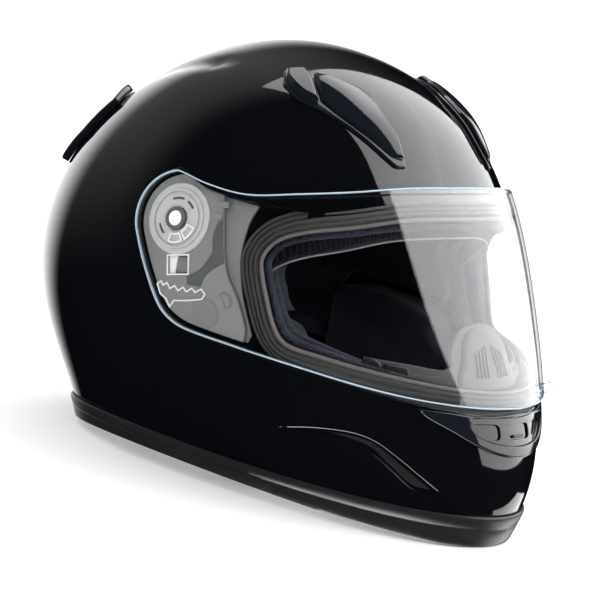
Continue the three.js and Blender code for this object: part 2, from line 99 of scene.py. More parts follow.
def surface(u, turn):
    u, turn = np.broadcast_arrays(np.asarray(u, float), np.asarray(turn, float))
    c = (np.cos(turn) - SQUARENESS * np.cos(3 * turn)) / (1 - SQUARENESS)
    s = (np.sin(turn) + SQUARENESS * np.sin(3 * turn)) / (1 - SQUARENESS)
    return surface_by_cosine(u, c, s)


def slopes(place, u, turn, step=1e-3):
    """How a placing function changes with u and with turn."""
    high = np.minimum(u + step, RIM - 1e-9)
    low = np.maximum(u - step, 1e-4)
    along = (place(high, turn) - place(low, turn)) / (high - low)[..., None]
    across = (place(u, turn + step) - place(u, turn - step)) / (2 * step)
    return along, across


def unit(v):
    return v / np.maximum(np.linalg.norm(v, axis=-1, keepdims=True), 1e-12)


def outward(u, turn, place=surface):
    u, turn = np.broadcast_arrays(np.asarray(u, float), np.asarray(turn, float))
    along, across = slopes(place, np.maximum(u, 0.02), turn)
    return unit(np.cross(across, along))


def skin(u, turn, out):
    """A point `out` mm outside the shell's outer face; out is a number, array or function."""
    if callable(out):
        out = out(u, turn)
    out = np.broadcast_to(np.asarray(out, float), np.shape(u))
    return surface(u, turn) + outward(u, turn) * out[..., None]


def solve(target, unknowns, place, limits):
    """Newton's method for two unknowns per point."""
    a, b = unknowns
    step = 1e-4
    for _ in range(25):
        here = place(a, b)
        da = (place(a + step, b) - here) / step
        db = (place(a, b + step) - here) / step
        miss = here - target
        det = da[..., 0] * db[..., 1] - da[..., 1] * db[..., 0]
        det = np.where(np.abs(det) < 1e-6, 1e-6, det)
        move_a = (miss[..., 0] * db[..., 1] - miss[..., 1] * db[..., 0]) / det
        move_b = (miss[..., 1] * da[..., 0] - miss[..., 0] * da[..., 1]) / det
        a = np.clip(a - np.clip(move_a, -0.6, 0.6), *limits[0])
        b = np.clip(b - np.clip(move_b, -0.3, 0.3), *limits[1])
    return a, b


def from_side(points):
    """Side-view points (y, z) to (u, turn) on the wearer's right."""
    target = np.asarray(points, float)

    def place(u, c):
        s = np.sqrt(np.clip(1 - c * c, 0, 1))
        return surface_by_cosine(u, c, s)[..., 1:]
    start_u = np.interp(-target[:, 1], [-256, -200, -125, -60, 0], [0.3, 3, 5, 6.9, 8.9])
    start_c = np.clip((CENTRE_Y - target[:, 0]) / 150, -1, 1)
    u, c = solve(target, (start_u, start_c), place, ((0.05, RIM - 1e-6), (-1, 1)))
    turn = np.arccos(c)
    exact = solve(target, (u, np.clip(turn, 0.02, math.pi - 0.02)),
                  lambda a, b: surface(a, b)[..., 1:], ((0.05, RIM - 1e-6), (0, math.pi)))
    return np.where((turn < 0.12)[:, None], np.stack([u, turn], -1), np.stack(exact, -1))


def from_top(points):
    target = np.asarray(points, float)
    start_turn = np.arctan2(-target[:, 0], CENTRE_Y - target[:, 1])
    start_u = np.hypot(target[:, 0], target[:, 1] - CENTRE_Y) / 35
    u, turn = solve(target, (start_u, start_turn), lambda a, b: surface(a, b)[..., :2],
                    ((0.05, 5.5), (-math.pi, math.pi)))
    return np.stack([u, turn], -1)


def from_front(points):
    """Front-view points (x, z) on the front half."""
    target = np.asarray(points, float)
    start_turn = np.arcsin(np.clip(-target[:, 0] / 125, -0.9, 0.9))
    start_u = np.interp(-target[:, 1], [-256, -200, -125, -60, 0], [0.3, 3, 5, 6.9, 8.9])
    u, turn = solve(target, (start_u, start_turn), lambda a, b: surface(a, b)[..., [0, 2]],
                    ((0.05, RIM - 1e-6), (-1.5, 1.5)))
    return np.stack([u, turn], -1)


# ---- Loops -------------------------------------------------------------

def arc(cx, cy, radius, start, end, steps):
    angles = np.radians(np.linspace(start, end, steps + 1))
    return [(cx + radius * math.cos(a), cy + radius * math.sin(a)) for a in angles]


def smooth(points, spacing, closed=False, corner=50):
    """A centripetal Catmull-Rom curve through points, sampled evenly; sharp corners stay sharp."""
    p = np.asarray(points, float)
    count = len(p)
    pieces = []
    for i in range(count if closed else count - 1):
        b, c = p[i], p[(i + 1) % count]
        a = p[i - 1] if (closed or i > 0) else 2 * b - c
        d = p[(i + 2) % count] if (closed or i + 2 < count) else 2 * c - b

        def angle(v, w):
            cosine = v @ w / max(1e-9, np.linalg.norm(v) * np.linalg.norm(w))
            return math.degrees(math.acos(np.clip(cosine, -1, 1)))
        if angle(b - a, c - b) > corner:
            a = 2 * b - c
        if angle(c - b, d - c) > corner:
            d = 2 * c - b
        chord = np.linalg.norm(c - b)
        tangent_b = (c - a) * chord / max(1e-9, np.linalg.norm(b - a) + chord)
        tangent_c = (d - b) * chord / max(1e-9, np.linalg.norm(d - c) + chord)
        steps = max(1, round(chord / spacing))
        t = (np.arange(steps) / steps)[:, None]
        pieces.append((2 * t ** 3 - 3 * t ** 2 + 1) * b + (t ** 3 - 2 * t ** 2 + t) * tangent_b
                      + (-2 * t ** 3 + 3 * t ** 2) * c + (t ** 3 - t ** 2) * tangent_c)
    if not closed:
        pieces.append(p[-1:])
    return np.concatenate(pieces)


def both_sides(half):
    """A right-hand half loop that starts and ends on the centre line, closed through the left."""
    half = np.asarray(half, float).copy()
    half[[0, -1], 1] = 0
    left = half[-2:0:-1] * (1, -1)
    return np.concatenate([half, left])


def flipped(loop):
    """The same loop on the wearer's left."""
    return np.asarray(loop)[::-1] * (1, -1)


def disc(uv):
    """(u, turn) laid out flat about the crown."""
    uv = np.asarray(uv)
    return -uv[..., :1] * np.stack([np.sin(uv[..., 1]), np.cos(uv[..., 1])], -1)


def undisc(q):
    return np.stack([np.hypot(q[..., 0], q[..., 1]), np.arctan2(-q[..., 0], -q[..., 1])], -1)


def signed_area(q):
    r = np.roll(q, -1, 0)
    return 0.5 * np.sum(q[:, 0] * r[:, 1] - r[:, 0] * q[:, 1])


def moved(loop, distance):
    """A closed loop moved within the surface, inwards if distance is positive."""
    loop = np.asarray(loop, float)
    if abs(distance) < 1e-9:
        return loop
    points = surface(loop[:, 0], loop[:, 1])
    normal = outward(loop[:, 0], loop[:, 1])
    ahead = unit(np.roll(points, -1, 0) - points)
    behind = unit(points - np.roll(points, 1, 0))
    along = unit(ahead + behind)
    stretch = 1 / np.clip(np.sum(along * ahead, -1), 0.45, 1)
    side = unit(np.cross(normal, along)) * np.sign(signed_area(disc(loop)))
    step = side * (distance * stretch)[:, None]
    du, dt = slopes(surface, loop[:, 0], loop[:, 1])
    a, b, c = (np.sum(v * w, -1) for v, w in ((du, du), (du, dt), (dt, dt)))
    e, f = np.sum(du * step, -1), np.sum(dt * step, -1)
    det = a * c - b * b
    new = loop.copy()
    new[:, 0] += (c * e - b * f) / det
    new[:, 1] += (a * f - b * e) / det
    new[:, 0] = np.minimum(new[:, 0], RIM)
    return new


def inside(q, polygon):
    """Which 2-D points lie inside a closed polygon."""
    result = np.zeros(len(q), bool)
    x, y = q[:, 0], q[:, 1]
    for (x0, y0), (x1, y1) in zip(polygon, np.roll(polygon, -1, 0)):
        crosses = (y0 > y) != (y1 > y)
        if crosses.any():
            at = x0 + (y - y0) / (y1 - y0 if y1 != y0 else 1e-12) * (x1 - x0)
            result ^= crosses & (x < at)
    return result


def gap_to(q, polygon):
    """Distance of 2-D points from a closed polygon's edge."""
    best = np.full(len(q), 1e9)
    for p0, p1 in zip(polygon, np.roll(polygon, -1, 0)):
        d = p1 - p0
        t = np.clip(((q - p0) @ d) / max(1e-12, d @ d), 0, 1)
        best = np.minimum(best, np.linalg.norm(q - p0 - t[:, None] * d, axis=1))
    return best


def scatter(spacing, lowest, highest):
    """Points spread evenly over rows of the shell, in disc coordinates."""
    rows = []
    for i, u in enumerate(np.arange(lowest, highest, spacing / U_LENGTH)):
        girth = np.linalg.norm(np.diff(surface(u, np.linspace(0, 2 * math.pi, 60)), axis=0),
                               axis=1).sum()
        count = max(6, int(girth / spacing))
        turn = (np.arange(count) + 0.5 * (i % 2)) / count * 2 * math.pi
        rows.append(disc(np.stack([np.full(count, u), turn], -1)))
    return np.concatenate(rows)


def triangulated(loops, holes, spacing):
    """Triangles between an outer loop and holes, through every loop in between.

    Returns (u, turn) of the vertices, the triangles, the vertices of each loop, and the
    loops laid flat."""
    flat = [disc(loop) for loop in loops]
    outer = flat[0]
    radii = np.linalg.norm(outer, axis=1)
    lowest = 0.0 if inside(np.zeros((1, 2)), outer)[0] else max(0.0, radii.min() - 0.2)
    points = scatter(spacing, max(lowest, spacing / U_LENGTH / 2), radii.max() + 0.1)
    box_low, box_high = outer.min(0), outer.max(0)
    points = points[((points >= box_low) & (points <= box_high)).all(1)]
    points = points[inside(points, outer)]
    for k in holes:
        points = points[~inside(points, flat[k])]
    for polygon in flat:
        points = points[gap_to(points, polygon) > 0.55 * spacing / U_LENGTH]
    everything = np.concatenate(flat + [points])
    edges, start = [], 0
    for polygon in flat:
        n = len(polygon)
        edges += [(start + i, start + (i + 1) % n) for i in range(n)]
        start += n
    found = delaunay_2d_cdt([Vector(p) for p in everything], edges, [], 0, 1e-7)
    q = np.array([tuple(v) for v in found[0]])
    triangles = np.array([f for f in found[2]])
    middles = q[triangles].mean(1)
    keep = inside(middles, outer)
    for k in holes:
        keep &= ~inside(middles, flat[k])
    triangles = triangles[keep]
    a, b, c = (q[triangles[:, i]] for i in range(3))
    area = (b - a)[:, 0] * (c - a)[:, 1] - (b - a)[:, 1] * (c - a)[:, 0]
    triangles[area < 0] = triangles[area < 0][:, ::-1]
    triangles = triangles[np.abs(area) > 1e-10]
    where = np.zeros(len(everything), int)
    for new, olds in enumerate(found[3]):
        for old in olds:
            where[old] = new
    places, start = [], 0
    for polygon in flat:
        places.append(where[start:start + len(polygon)])
        start += len(polygon)
    return undisc(q), triangles, places, flat


def on_line(q, polygon):
    return gap_to(q, polygon) < 2e-5


# ---- Meshes ------------------------------------------------------------

def put(points):
    """Shell-frame millimetres to row-frame metres."""
    points = np.asarray(points, float)
    return (points + (0, STAND_Y, 0)) / 1000


class Build:
    """Collects vertices and faces, with a shading normal for the faces that state one."""

    def __init__(self):
        self.points, self.faces, self.normals, self.looks = [], [], {}, {}

    def add(self, points):
        start = sum(len(p) for p in self.points)
        self.points.append(np.asarray(points, float))
        return np.arange(start, start + len(points))

    def fill(self, faces, normals=None, vertices=None, look=0):
        """Faces of one patch; normals, one per vertex of the patch, fix its shading."""
        for face in faces:
            if look:
                self.looks[len(self.faces)] = look
            if normals is not None:
                self.normals[len(self.faces)] = [normals[i - vertices[0]] for i in face]
            self.faces.append([int(i) for i in face])

    def band(self, a, b, closed=True):
        """Quads between two rows of the same length."""
        n = len(a)
        for i in range(n if closed else n - 1):
            j = (i + 1) % n
            self.faces.append([int(a[i]), int(a[j]), int(b[j]), int(b[i])])

    def join(self, other):
        """Adds another build's vertices and faces."""
        start, first = sum(len(p) for p in self.points), len(self.faces)
        self.points += other.points
        self.faces += [[i + start for i in face] for face in other.faces]
        self.normals.update({first + k: v for k, v in other.normals.items()})

    def mirror(self):
        """Moves everything to the wearer's other side."""
        self.points = [p * (-1, 1, 1) for p in self.points]
        self.faces = [face[::-1] for face in self.faces]
        self.normals = {k: [n * (-1, 1, 1) for n in v[::-1]] for k, v in self.normals.items()}

    def close(self, top, bottom, triangles):
        """Joins two copies of the same triangles along every open edge."""
        edges = np.concatenate([triangles[:, [0, 1]], triangles[:, [1, 2]], triangles[:, [2, 0]]])
        both = {tuple(e) for e in edges}
        for a, b in both:
            if (b, a) not in both:
                self.faces.append([int(top[b]), int(top[a]), int(bottom[a]), int(bottom[b])])

    def mesh(self, name, sharp=None):
        data = bpy.data.meshes.new(name)
        data.from_pydata([tuple(p) for p in put(np.concatenate(self.points))], [], self.faces)
        data.validate()
        data.shade_smooth()
        for index, look in self.looks.items():
            data.polygons[index].material_index = look
        if sharp:
            data.set_sharp_from_angle(angle=sharp * DEG)
        if self.normals and len(data.polygons) == len(self.faces):
            loops = np.zeros((len(data.loops), 3), np.float32)
            for index, values in self.normals.items():
                first = data.polygons[index].loop_start
                loops[first:first + len(values)] = values
            data.normals_split_custom_set([tuple(v) for v in loops])
        return data


def piece(name, data, body, material, replaces=()):
    """A finished mesh as an object that rides on a body."""
    obj = bpy.data.objects.new(name, data)
    bpy.context.scene.collection.objects.link(obj)
    data.materials.clear()
    for look in (material if isinstance(material, tuple) else (material,)):
        data.materials.append(look)
    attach(obj, body)
    if replaces:
        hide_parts(*replaces)
    return obj


def as_height(value, uv, inset=None):
    if callable(value):
        return value(uv[:, 0], uv[:, 1])
    return np.full(len(uv), float(value))


def plate(loop, low, high, edge=((0, 0.3), (0.3, 0)), holes=(), spacing=3.0):
    """A sheet that follows the shell between two heights.

    edge lists (inset, drop) from the rim inwards to where the top face starts."""
    build = Build()
    last = edge[-1][0]
    loops = [moved(loop, last)] + [moved(hole, -min(last, 0.3)) for hole in holes]
    uv, triangles, places, _ = triangulated(loops, range(1, len(loops)), spacing)
    top = build.add(skin(uv[:, 0], uv[:, 1], high))
    bottom = build.add(skin(uv[:, 0], uv[:, 1], low))
    build.fill(top[triangles], outward(uv[:, 0], uv[:, 1], lambda u, t: skin(u, t, high)), top)
    build.fill(bottom[triangles[:, ::-1]])

    def row(line, value, step):
        height = value(line[:, 0], line[:, 1]) if callable(value) else value
        return build.add(skin(line[:, 0], line[:, 1], height + step))
    for k, line in enumerate([loop, *holes]):
        line = np.asarray(line, float)
        rows = [top[places[k]]]
        steps = edge[-2::-1] if k == 0 else ((0, 0.3),)
        for inset, drop in steps:
            rows.append(row(moved(line, inset), high, -drop))
        rows.append(row(line, low, 0.15))
        rows.append(bottom[places[k]])
        if (signed_area(disc(line)) > 0) == (k == 0):
            rows = rows[::-1]
        for a, b in zip(rows[:-1], rows[1:]):
            build.band(a, b)
    return build


def swept(loop, section, closed_section=False):
    """A moulding along a loop; section is a list of (inset, height)."""
    build = Build()
    rows = []
    for inset, height in section:
        edge = moved(loop, inset)
        rows.append(build.add(skin(edge[:, 0], edge[:, 1], as_height(height, edge))))
    if signed_area(disc(loop)) < 0:
        rows = rows[::-1]
    pairs = list(zip(rows[:-1], rows[1:]))
    if closed_section:
        pairs.append((rows[-1], rows[0]))
    for a, b in pairs:
        build.band(a, b)
    return build


# ---- Materials ---------------------------------------------------------

class Nodes:
    """A node material with one Principled shader."""

    def __init__(self, name, color, roughness, **inputs):
        self.material = bpy.data.materials.new(name)
        self.material.use_nodes = True
        self.tree = self.material.node_tree
        self.shader = self.tree.nodes["Principled BSDF"]
        self.shader.inputs["Base Color"].default_value = (*color, 1)
        self.shader.inputs["Roughness"].default_value = roughness
        for key, value in inputs.items():
            self.shader.inputs[key.replace("_", " ")].default_value = value
        self.place = self.new("ShaderNodeTexCoord").outputs["Object"]

    def new(self, kind, **values):
        node = self.tree.nodes.new(kind)
        for key, value in values.items():
            if hasattr(node, key):
                setattr(node, key, value)
            else:
                node.inputs[key.replace("_", " ")].default_value = value
        return node

    def link(self, a, b):
        self.tree.links.new(a, b)

    def texture(self, kind, vector=None, **values):
        node = self.new(kind, **values)
        self.link(vector or self.place, node.inputs["Vector"])
        return node

    def ramp(self, value, low, high, out_low, out_high):
        node = self.new("ShaderNodeMapRange")
        for key, number in (("From Min", low), ("From Max", high), ("To Min", out_low),
                            ("To Max", out_high)):
            node.inputs[key].default_value = number
        self.link(value, node.inputs["Value"])
        return node.outputs["Result"]

    def blend_color(self, factor, first, second):
        node = self.new("ShaderNodeMix", data_type="RGBA")
        node.inputs["A"].default_value = (*first, 1)
        node.inputs["B"].default_value = (*second, 1)
        self.link(factor, node.inputs["Factor"])
        return node.outputs["Result"]

    def bump(self, height, strength, distance, normal=None):
        node = self.new("ShaderNodeBump")
        node.inputs["Strength"].default_value = strength
        node.inputs["Distance"].default_value = distance
        self.link(height, node.inputs["Height"])
        if normal:
            self.link(normal, node.inputs["Normal"])
        return node.outputs["Normal"]


def lacquer(name, color=(0.002, 0.0022, 0.003), roughness=0.03):
    """Gloss black: slow swirls of polish in the roughness and a trace of orange peel."""
    m = Nodes(name, color, roughness, IOR=1.5, Coat_Weight=0.2, Coat_Roughness=0.02)
    polish = m.texture("ShaderNodeTexNoise", Scale=22.0, Detail=4.0)
    m.link(m.ramp(polish.outputs["Fac"], 0.3, 0.7, roughness, roughness + 0.05),
           m.shader.inputs["Roughness"])
    tint = m.texture("ShaderNodeTexNoise", Scale=4.0)
    m.link(m.blend_color(tint.outputs["Fac"], color, tuple(c * 1.5 for c in color)),
           m.shader.inputs["Base Color"])
    peel = m.texture("ShaderNodeTexNoise", Scale=420.0, Detail=1.0)
    m.link(m.bump(peel.outputs["Fac"], 0.015, 0.0004), m.shader.inputs["Normal"])
    return m.material


def clear_pane(name):
    """Clear polycarbonate: mirrors more at a slant, and turns blue where seen edge-on."""
    m = Nodes(name, (1.0, 1.0, 1.0), 0.0, Metallic=1.0)
    smear = m.texture("ShaderNodeTexNoise", Scale=35.0, Detail=3.0)
    m.link(m.ramp(smear.outputs["Fac"], 0.5, 0.8, 0.0, 0.01), m.shader.inputs["Roughness"])
    facing = m.new("ShaderNodeLayerWeight", Blend=0.5).outputs["Facing"]
    m.link(m.blend_color(m.ramp(facing, 0.8, 0.95, 0.0, 1.0), (1.0, 1.0, 1.0), (0.05, 0.13, 0.2)),
           m.shader.inputs["Base Color"])
    opaque = m.new("ShaderNodeMath", operation="MAXIMUM")
    slant = m.new("ShaderNodeMath", operation="POWER")
    m.link(facing, slant.inputs[0])
    slant.inputs[1].default_value = 5
    m.link(m.ramp(slant.outputs[0], 0.0, 1.0, 0.055, 1.0), opaque.inputs[0])
    m.link(m.ramp(facing, 0.84, 0.96, 0.0, 0.8), opaque.inputs[1])
    m.link(opaque.outputs[0], m.shader.inputs["Alpha"])
    return m.material


def moulded(name, color, roughness, grain=2600.0, strength=0.05, tint=1.25):
    """Moulded plastic or rubber with a fine spark-eroded grain."""
    m = Nodes(name, color, roughness)
    fine = m.texture("ShaderNodeTexNoise", Scale=grain, Detail=2.0)
    slow = m.texture("ShaderNodeTexNoise", Scale=30.0, Detail=3.0)
    m.link(m.blend_color(slow.outputs["Fac"], color, tuple(c * tint for c in color)),
           m.shader.inputs["Base Color"])
    m.link(m.ramp(slow.outputs["Fac"], 0.3, 0.7, roughness - 0.06, roughness + 0.08),
           m.shader.inputs["Roughness"])
    m.link(m.bump(fine.outputs["Fac"], strength, 0.0002), m.shader.inputs["Normal"])
    return m.material


def knitted(name, dark, light, cell=0.0021, strength=0.7):
    """Open mesh knit: dark holes in a hexagonal net of lighter yarn, with fine fuzz."""
    m = Nodes(name, light, 0.92, Sheen_Weight=0.08, Sheen_Roughness=0.5)
    cells = m.texture("ShaderNodeTexVoronoi", feature="F1", Scale=1 / cell, Randomness=0.12)
    fuzz = m.texture("ShaderNodeTexNoise", Scale=2600.0, Detail=2.0)
    holes = m.ramp(cells.outputs["Distance"], 0.22, 0.5, 0.0, 1.0)
    m.link(m.blend_color(holes, dark, light), m.shader.inputs["Base Color"])
    first = m.bump(holes, strength, 0.0006)
    m.link(m.bump(fuzz.outputs["Fac"], 0.25, 0.0002, first), m.shader.inputs["Normal"])
    return m.material


def cloth(name, color, light, scale=1300.0):
    """Smooth brushed lining cloth with a faint weave."""
    m = Nodes(name, color, 0.95, Sheen_Weight=0.06, Sheen_Roughness=0.6)
    waves = m.texture("ShaderNodeTexWave", Scale=scale / 6.3, Distortion=0.6, Detail=1.0)
    pile = m.texture("ShaderNodeTexNoise", Scale=90.0, Detail=5.0)
    m.link(m.blend_color(pile.outputs["Fac"], color, light), m.shader.inputs["Base Color"])
    m.link(m.bump(waves.outputs["Fac"], 0.35, 0.0003), m.shader.inputs["Normal"])
    return m.material


def ribbed(name, color, light):
    """Rib knit: raised vertical wales across the brow."""
    m = Nodes(name, color, 0.95, Sheen_Weight=0.05)
    waves = m.texture("ShaderNodeTexWave", Scale=150.0, Distortion=0.4, Detail=1.0)
    m.link(m.blend_color(waves.outputs["Fac"], color, light), m.shader.inputs["Base Color"])
    m.link(m.bump(waves.outputs["Fac"], 0.8, 0.0006), m.shader.inputs["Normal"])
    return m.material


def webbing(name, color):
    m = Nodes(name, color, 0.85, Sheen_Weight=0.2)
    waves = m.texture("ShaderNodeTexWave", Scale=200.0, bands_direction="Z", Distortion=0.3)
    m.link(m.blend_color(waves.outputs["Fac"], color, tuple(3 * c for c in color)),
           m.shader.inputs["Base Color"])
    m.link(m.bump(waves.outputs["Fac"], 0.8, 0.0005), m.shader.inputs["Normal"])
    return m.material


def steel(name):
    m = Nodes(name, (0.55, 0.56, 0.58), 0.28, Metallic=1.0)
    scratch = m.texture("ShaderNodeTexNoise", Scale=700.0, Detail=3.0)
    m.link(m.ramp(scratch.outputs["Fac"], 0.3, 0.7, 0.2, 0.4), m.shader.inputs["Roughness"])
    return m.material


def foam(name):
    """Expanded polystyrene: packed beads."""
    m = Nodes(name, (0.004, 0.004, 0.005), 0.9)
    beads = m.texture("ShaderNodeTexVoronoi", Scale=280.0)
    m.link(m.blend_color(beads.outputs["Distance"], (0.006, 0.006, 0.007), (0.002, 0.002, 0.002)),
           m.shader.inputs["Base Color"])
    m.link(m.bump(beads.outputs["Distance"], 0.6, 0.001), m.shader.inputs["Normal"])
    return m.material


GLOSS = lacquer("gloss_black")
VENT_GLOSS = lacquer("gloss_black_vents", (0.005, 0.006, 0.009), 0.06)
PANE = clear_pane("clear_visor")
MECHANISM = moulded("mechanism_grey", (0.2, 0.205, 0.205), 0.35, strength=0.04)
# Painted light: the round turret's grey is a copy of the mechanism grey, over twice as light, standing in
# for light falling on the turret
TURRET_PAINTED_LIT = moulded("mechanism_round_painted_lit", (0.46, 0.47, 0.465), 0.35, strength=0.04)
DARK_MECHANISM = moulded("mechanism_dark", (0.18, 0.183, 0.185), 0.4, strength=0.04)
SHADE_MECHANISM = moulded("mechanism_shade", (0.085, 0.09, 0.095), 0.4, strength=0.05)
# Near-white plastic for latches, frames, cap, catch and teeth: partly their own pale colour, partly a
# painted highlight for the bright lines along these edges
PALE_PLASTIC_AND_HIGHLIGHT = moulded("mechanism_pale_and_highlight", (0.75, 0.76, 0.77), 0.2, strength=0.06)
# Painted highlight: the light-blue colour of the visor's edge stands in for the light the clear edge
# catches
PAINTED_EDGE_GLOW = moulded("visor_edge_painted_glow", (0.36, 0.46, 0.56), 0.25, strength=0.03)
LIP_RUBBER = moulded("seal_lip", (0.12, 0.112, 0.105), 0.5)
BLACK_PLASTIC = moulded("satin_black", (0.012, 0.012, 0.014), 0.38)
GUARD = moulded("breath_guard_grey", (0.05, 0.051, 0.054), 0.55)
RUBBER = moulded("seal_rubber", (0.045, 0.045, 0.046), 0.5)
KNIT = knitted("navy_mesh_knit", (0.0008, 0.0012, 0.003), (0.01, 0.0165, 0.036), 0.0026)
RIBBED = ribbed("navy_rib_knit", (0.0006, 0.0008, 0.002), (0.005, 0.0075, 0.017))
PIPING = cloth("pale_piping", (0.16, 0.165, 0.18), (0.22, 0.225, 0.24))
LINING = cloth("navy_lining", (0.004, 0.0045, 0.012), (0.009, 0.0105, 0.026))
NECK = cloth("grey_neck_cloth", (0.09, 0.09, 0.095), (0.14, 0.14, 0.145))
STRAP = webbing("black_webbing", (0.01, 0.01, 0.011))
STEEL = steel("plated_steel")
FOAM = foam("black_foam")


# ---- Outlines ----------------------------------------------------------

def over_front(half, spacing=2.5):
    """A side-view curve from the centre line at the front round to it again, on both sides."""
    points = smooth(half, spacing)
    uv = from_side(points)
    miss = np.linalg.norm(surface(uv[:, 0], uv[:, 1])[:, 1:] - points, axis=1)
    kept = np.nonzero((miss < 0.3) & (uv[:, 1] > 0.03))[0]
    ends = []
    for beside, step in ((kept[0], -1), (kept[-1], 1)):
        height = points[min(max(beside + step, 0), len(points) - 1), 1]
        rows = np.linspace(1, RIM, 400)
        front = surface(rows, np.zeros(400))[:, 2]
        ends.append([[np.interp(-height, -front, rows), 0.0]])
    return both_sides(np.concatenate([ends[0], uv[kept[0]:kept[-1] + 1], ends[1]]))


VISOR = over_front([
    (-135, 194), (-92, 191), (-71, 184), (-53, 179), (-28, 173), (-4, 173.5),
    *arc(*PIVOT, VISOR_END_RADIUS, 75, -35, 10),
    (22, 121), (9, 102), (1, 96), (-9, 93), (-40, 91), (-78, 88), (-127, 82), (-185, 76)])
POCKET = over_front([
    (-140, 150), (-62, 150), (-60, 172), (-28, 171), (-4, 172), (4, 174),
    *arc(*PIVOT, VISOR_END_RADIUS + 3, 75, -35, 10),
    (25, 119), (12, 100), (3, 93), (-8, 90), (-40, 88), (-78, 85), (-127, 79), (-185, 73)])
EYEPORT = over_front([
    (-140, 186), (-96, 183), (-76, 174), (-58, 167), (-47, 160), (-41, 151), (-39, 141),
    (-42, 130), (-47, 118), (-53, 104), (-59, 95), (-67, 90), (-82, 88), (-120, 84),
    (-185, 78)])
SIDE_INSERT = [(-116, 54), (-122, 52), (-147, 33), (-141, 31), (-128, 40)]


def side_share(turn):
    t = np.clip((np.arccos(np.cos(turn)) / DEG - 46) / 18, 0, 1)
    return t * t * (3 - 2 * t)


def pocket_floor(u, turn):
    return -(POCKET_FRONT + (POCKET_SIDE - POCKET_FRONT) * side_share(turn))


def visor_outer(u, turn):
    facing = np.maximum(0, np.cos(turn)) ** 1.5
    return VISOR_SIDE_OUT + facing * (1.7 + 1.5 * np.clip((6.5 - u) / 3, 0, 1))


def visor_inner(u, turn):
    return visor_outer(u, turn) - VISOR_WALL


# ---- Shell -------------------------------------------------------------

CREASE = [(-64, 49), (-84, 54.4), (-104, 57), (-116, 55), (-128, 47.5), (-139, 38.5),
          (-147, 31.5), (-145, 28), (-134, 30), (-123, 39.5), (-111, 48), (-94, 50.5),
          (-80, 49.5)]
CHANNEL = [(-68, 30), (-66, 60), (-63, 84), (-60, 104), (-57, 116)]     # plan view (x, y)
REAR_CREASE = [(-83, 138), (-100, 114), (-108, 96)]


def near_path(points, path):
    """Distance in plan view from a path, and how far along it, from 0 to 1."""
    best = np.full(points.shape[:-1], 1e9)
    along = np.zeros(points.shape[:-1])
    count = len(path) - 1
    for i in range(count):
        a, b = np.array(path[i], float), np.array(path[i + 1], float)
        t = np.clip(((points - a) @ (b - a)) / ((b - a) @ (b - a)), 0, 1)
        gap = np.linalg.norm(points - a - t[..., None] * (b - a), axis=-1)
        along = np.where(gap < best, (i + t) / count, along)
        best = np.minimum(best, gap)
    return best, along


CHANNEL_CURVE = smooth(CHANNEL, 6)


def styling(u, turn):
    """The long shallow channel from each forehead vent back to the rear vent."""
    points = surface(u, turn)
    points = points * np.where(points[..., :1] > 0, (-1, 1, 1), 1)
    gap, along = near_path(points[..., :2], CHANNEL_CURVE)
    fade = np.clip(along / 0.2, 0, 1) * np.clip((1 - along) / 0.2, 0, 1)
    upper = points[..., 2] > 150
    return np.where(upper, -1.8 * fade * np.exp(-(gap / 7.5) ** 2), 0.0)


def styled_skin(u, turn):
    return skin(u, turn, styling)


def helmet_shell():
    """The lacquered shell with its visor pocket, side creases and eye opening, and its inside."""
    build = Build()
    rim = np.stack([np.full(300, 8.72), np.linspace(0, 2 * math.pi, 300, endpoint=False)], -1)
    crease = from_side(smooth(CREASE, 2.0, closed=True))
    pocket_steps = [(0.0, 0.0), (0.4, -0.12), (0.75, -0.6), (0.95, None)]
    crease_steps = [(0.0, 0.0), (0.45, -0.1), (0.8, -0.5), (1.0, -1.5)]
    loops, heights, owners = [rim, EYEPORT], [0.0, None], [-1, -2]
    for owner, (loop, steps) in enumerate([(POCKET, pocket_steps), (crease, crease_steps),
                                           (flipped(crease), crease_steps)]):
        for inset, value in steps:
            loops.append(moved(loop, inset))
            heights.append(value)
            owners.append(owner)
    uv, triangles, _, flat = triangulated(loops, [1], 3.4)
    q = disc(uv)
    floor = pocket_floor(uv[:, 0], uv[:, 1])
    height = styling(uv[:, 0], uv[:, 1])
    height = np.where(inside(q, flat[5]), floor, height)
    for last in (9, 13):
        height = np.where(inside(q, flat[last]), crease_steps[-1][1], height)
    step_of = np.full(len(q), -1)
    for k in range(2, len(loops)):
        mine = on_line(q, flat[k])
        height[mine] = floor[mine] if heights[k] is None else heights[k]
        step_of[mine] = k
    corners = step_of[triangles]
    wall = (corners >= 0).all(1) & (np.ptp(corners, axis=1) > 0)
    outer = build.add(skin(uv[:, 0], uv[:, 1], height))
    inner = build.add(skin(uv[:, 0], uv[:, 1], height - SHELL_WALL))
    sunk = (inside(q, flat[2])[triangles]).all(1) & ~wall
    sunk |= (wall & ((corners >= 2) & (corners <= 5)).all(1) & (corners.max(1) == 5))
    normals = outward(uv[:, 0], uv[:, 1], styled_skin)
    build.fill(outer[triangles[~wall & ~sunk]], normals, outer)
    build.fill(outer[triangles[wall & ~sunk]])
    build.fill(outer[triangles[sunk]], look=1)
    build.fill(inner[triangles[:, ::-1]], look=1)
    build.close(outer, inner, triangles)
    return build


def rim_height(turn):
    return 9 * np.maximum(0, np.sin(turn) ** 2 - 0.13) / 0.87


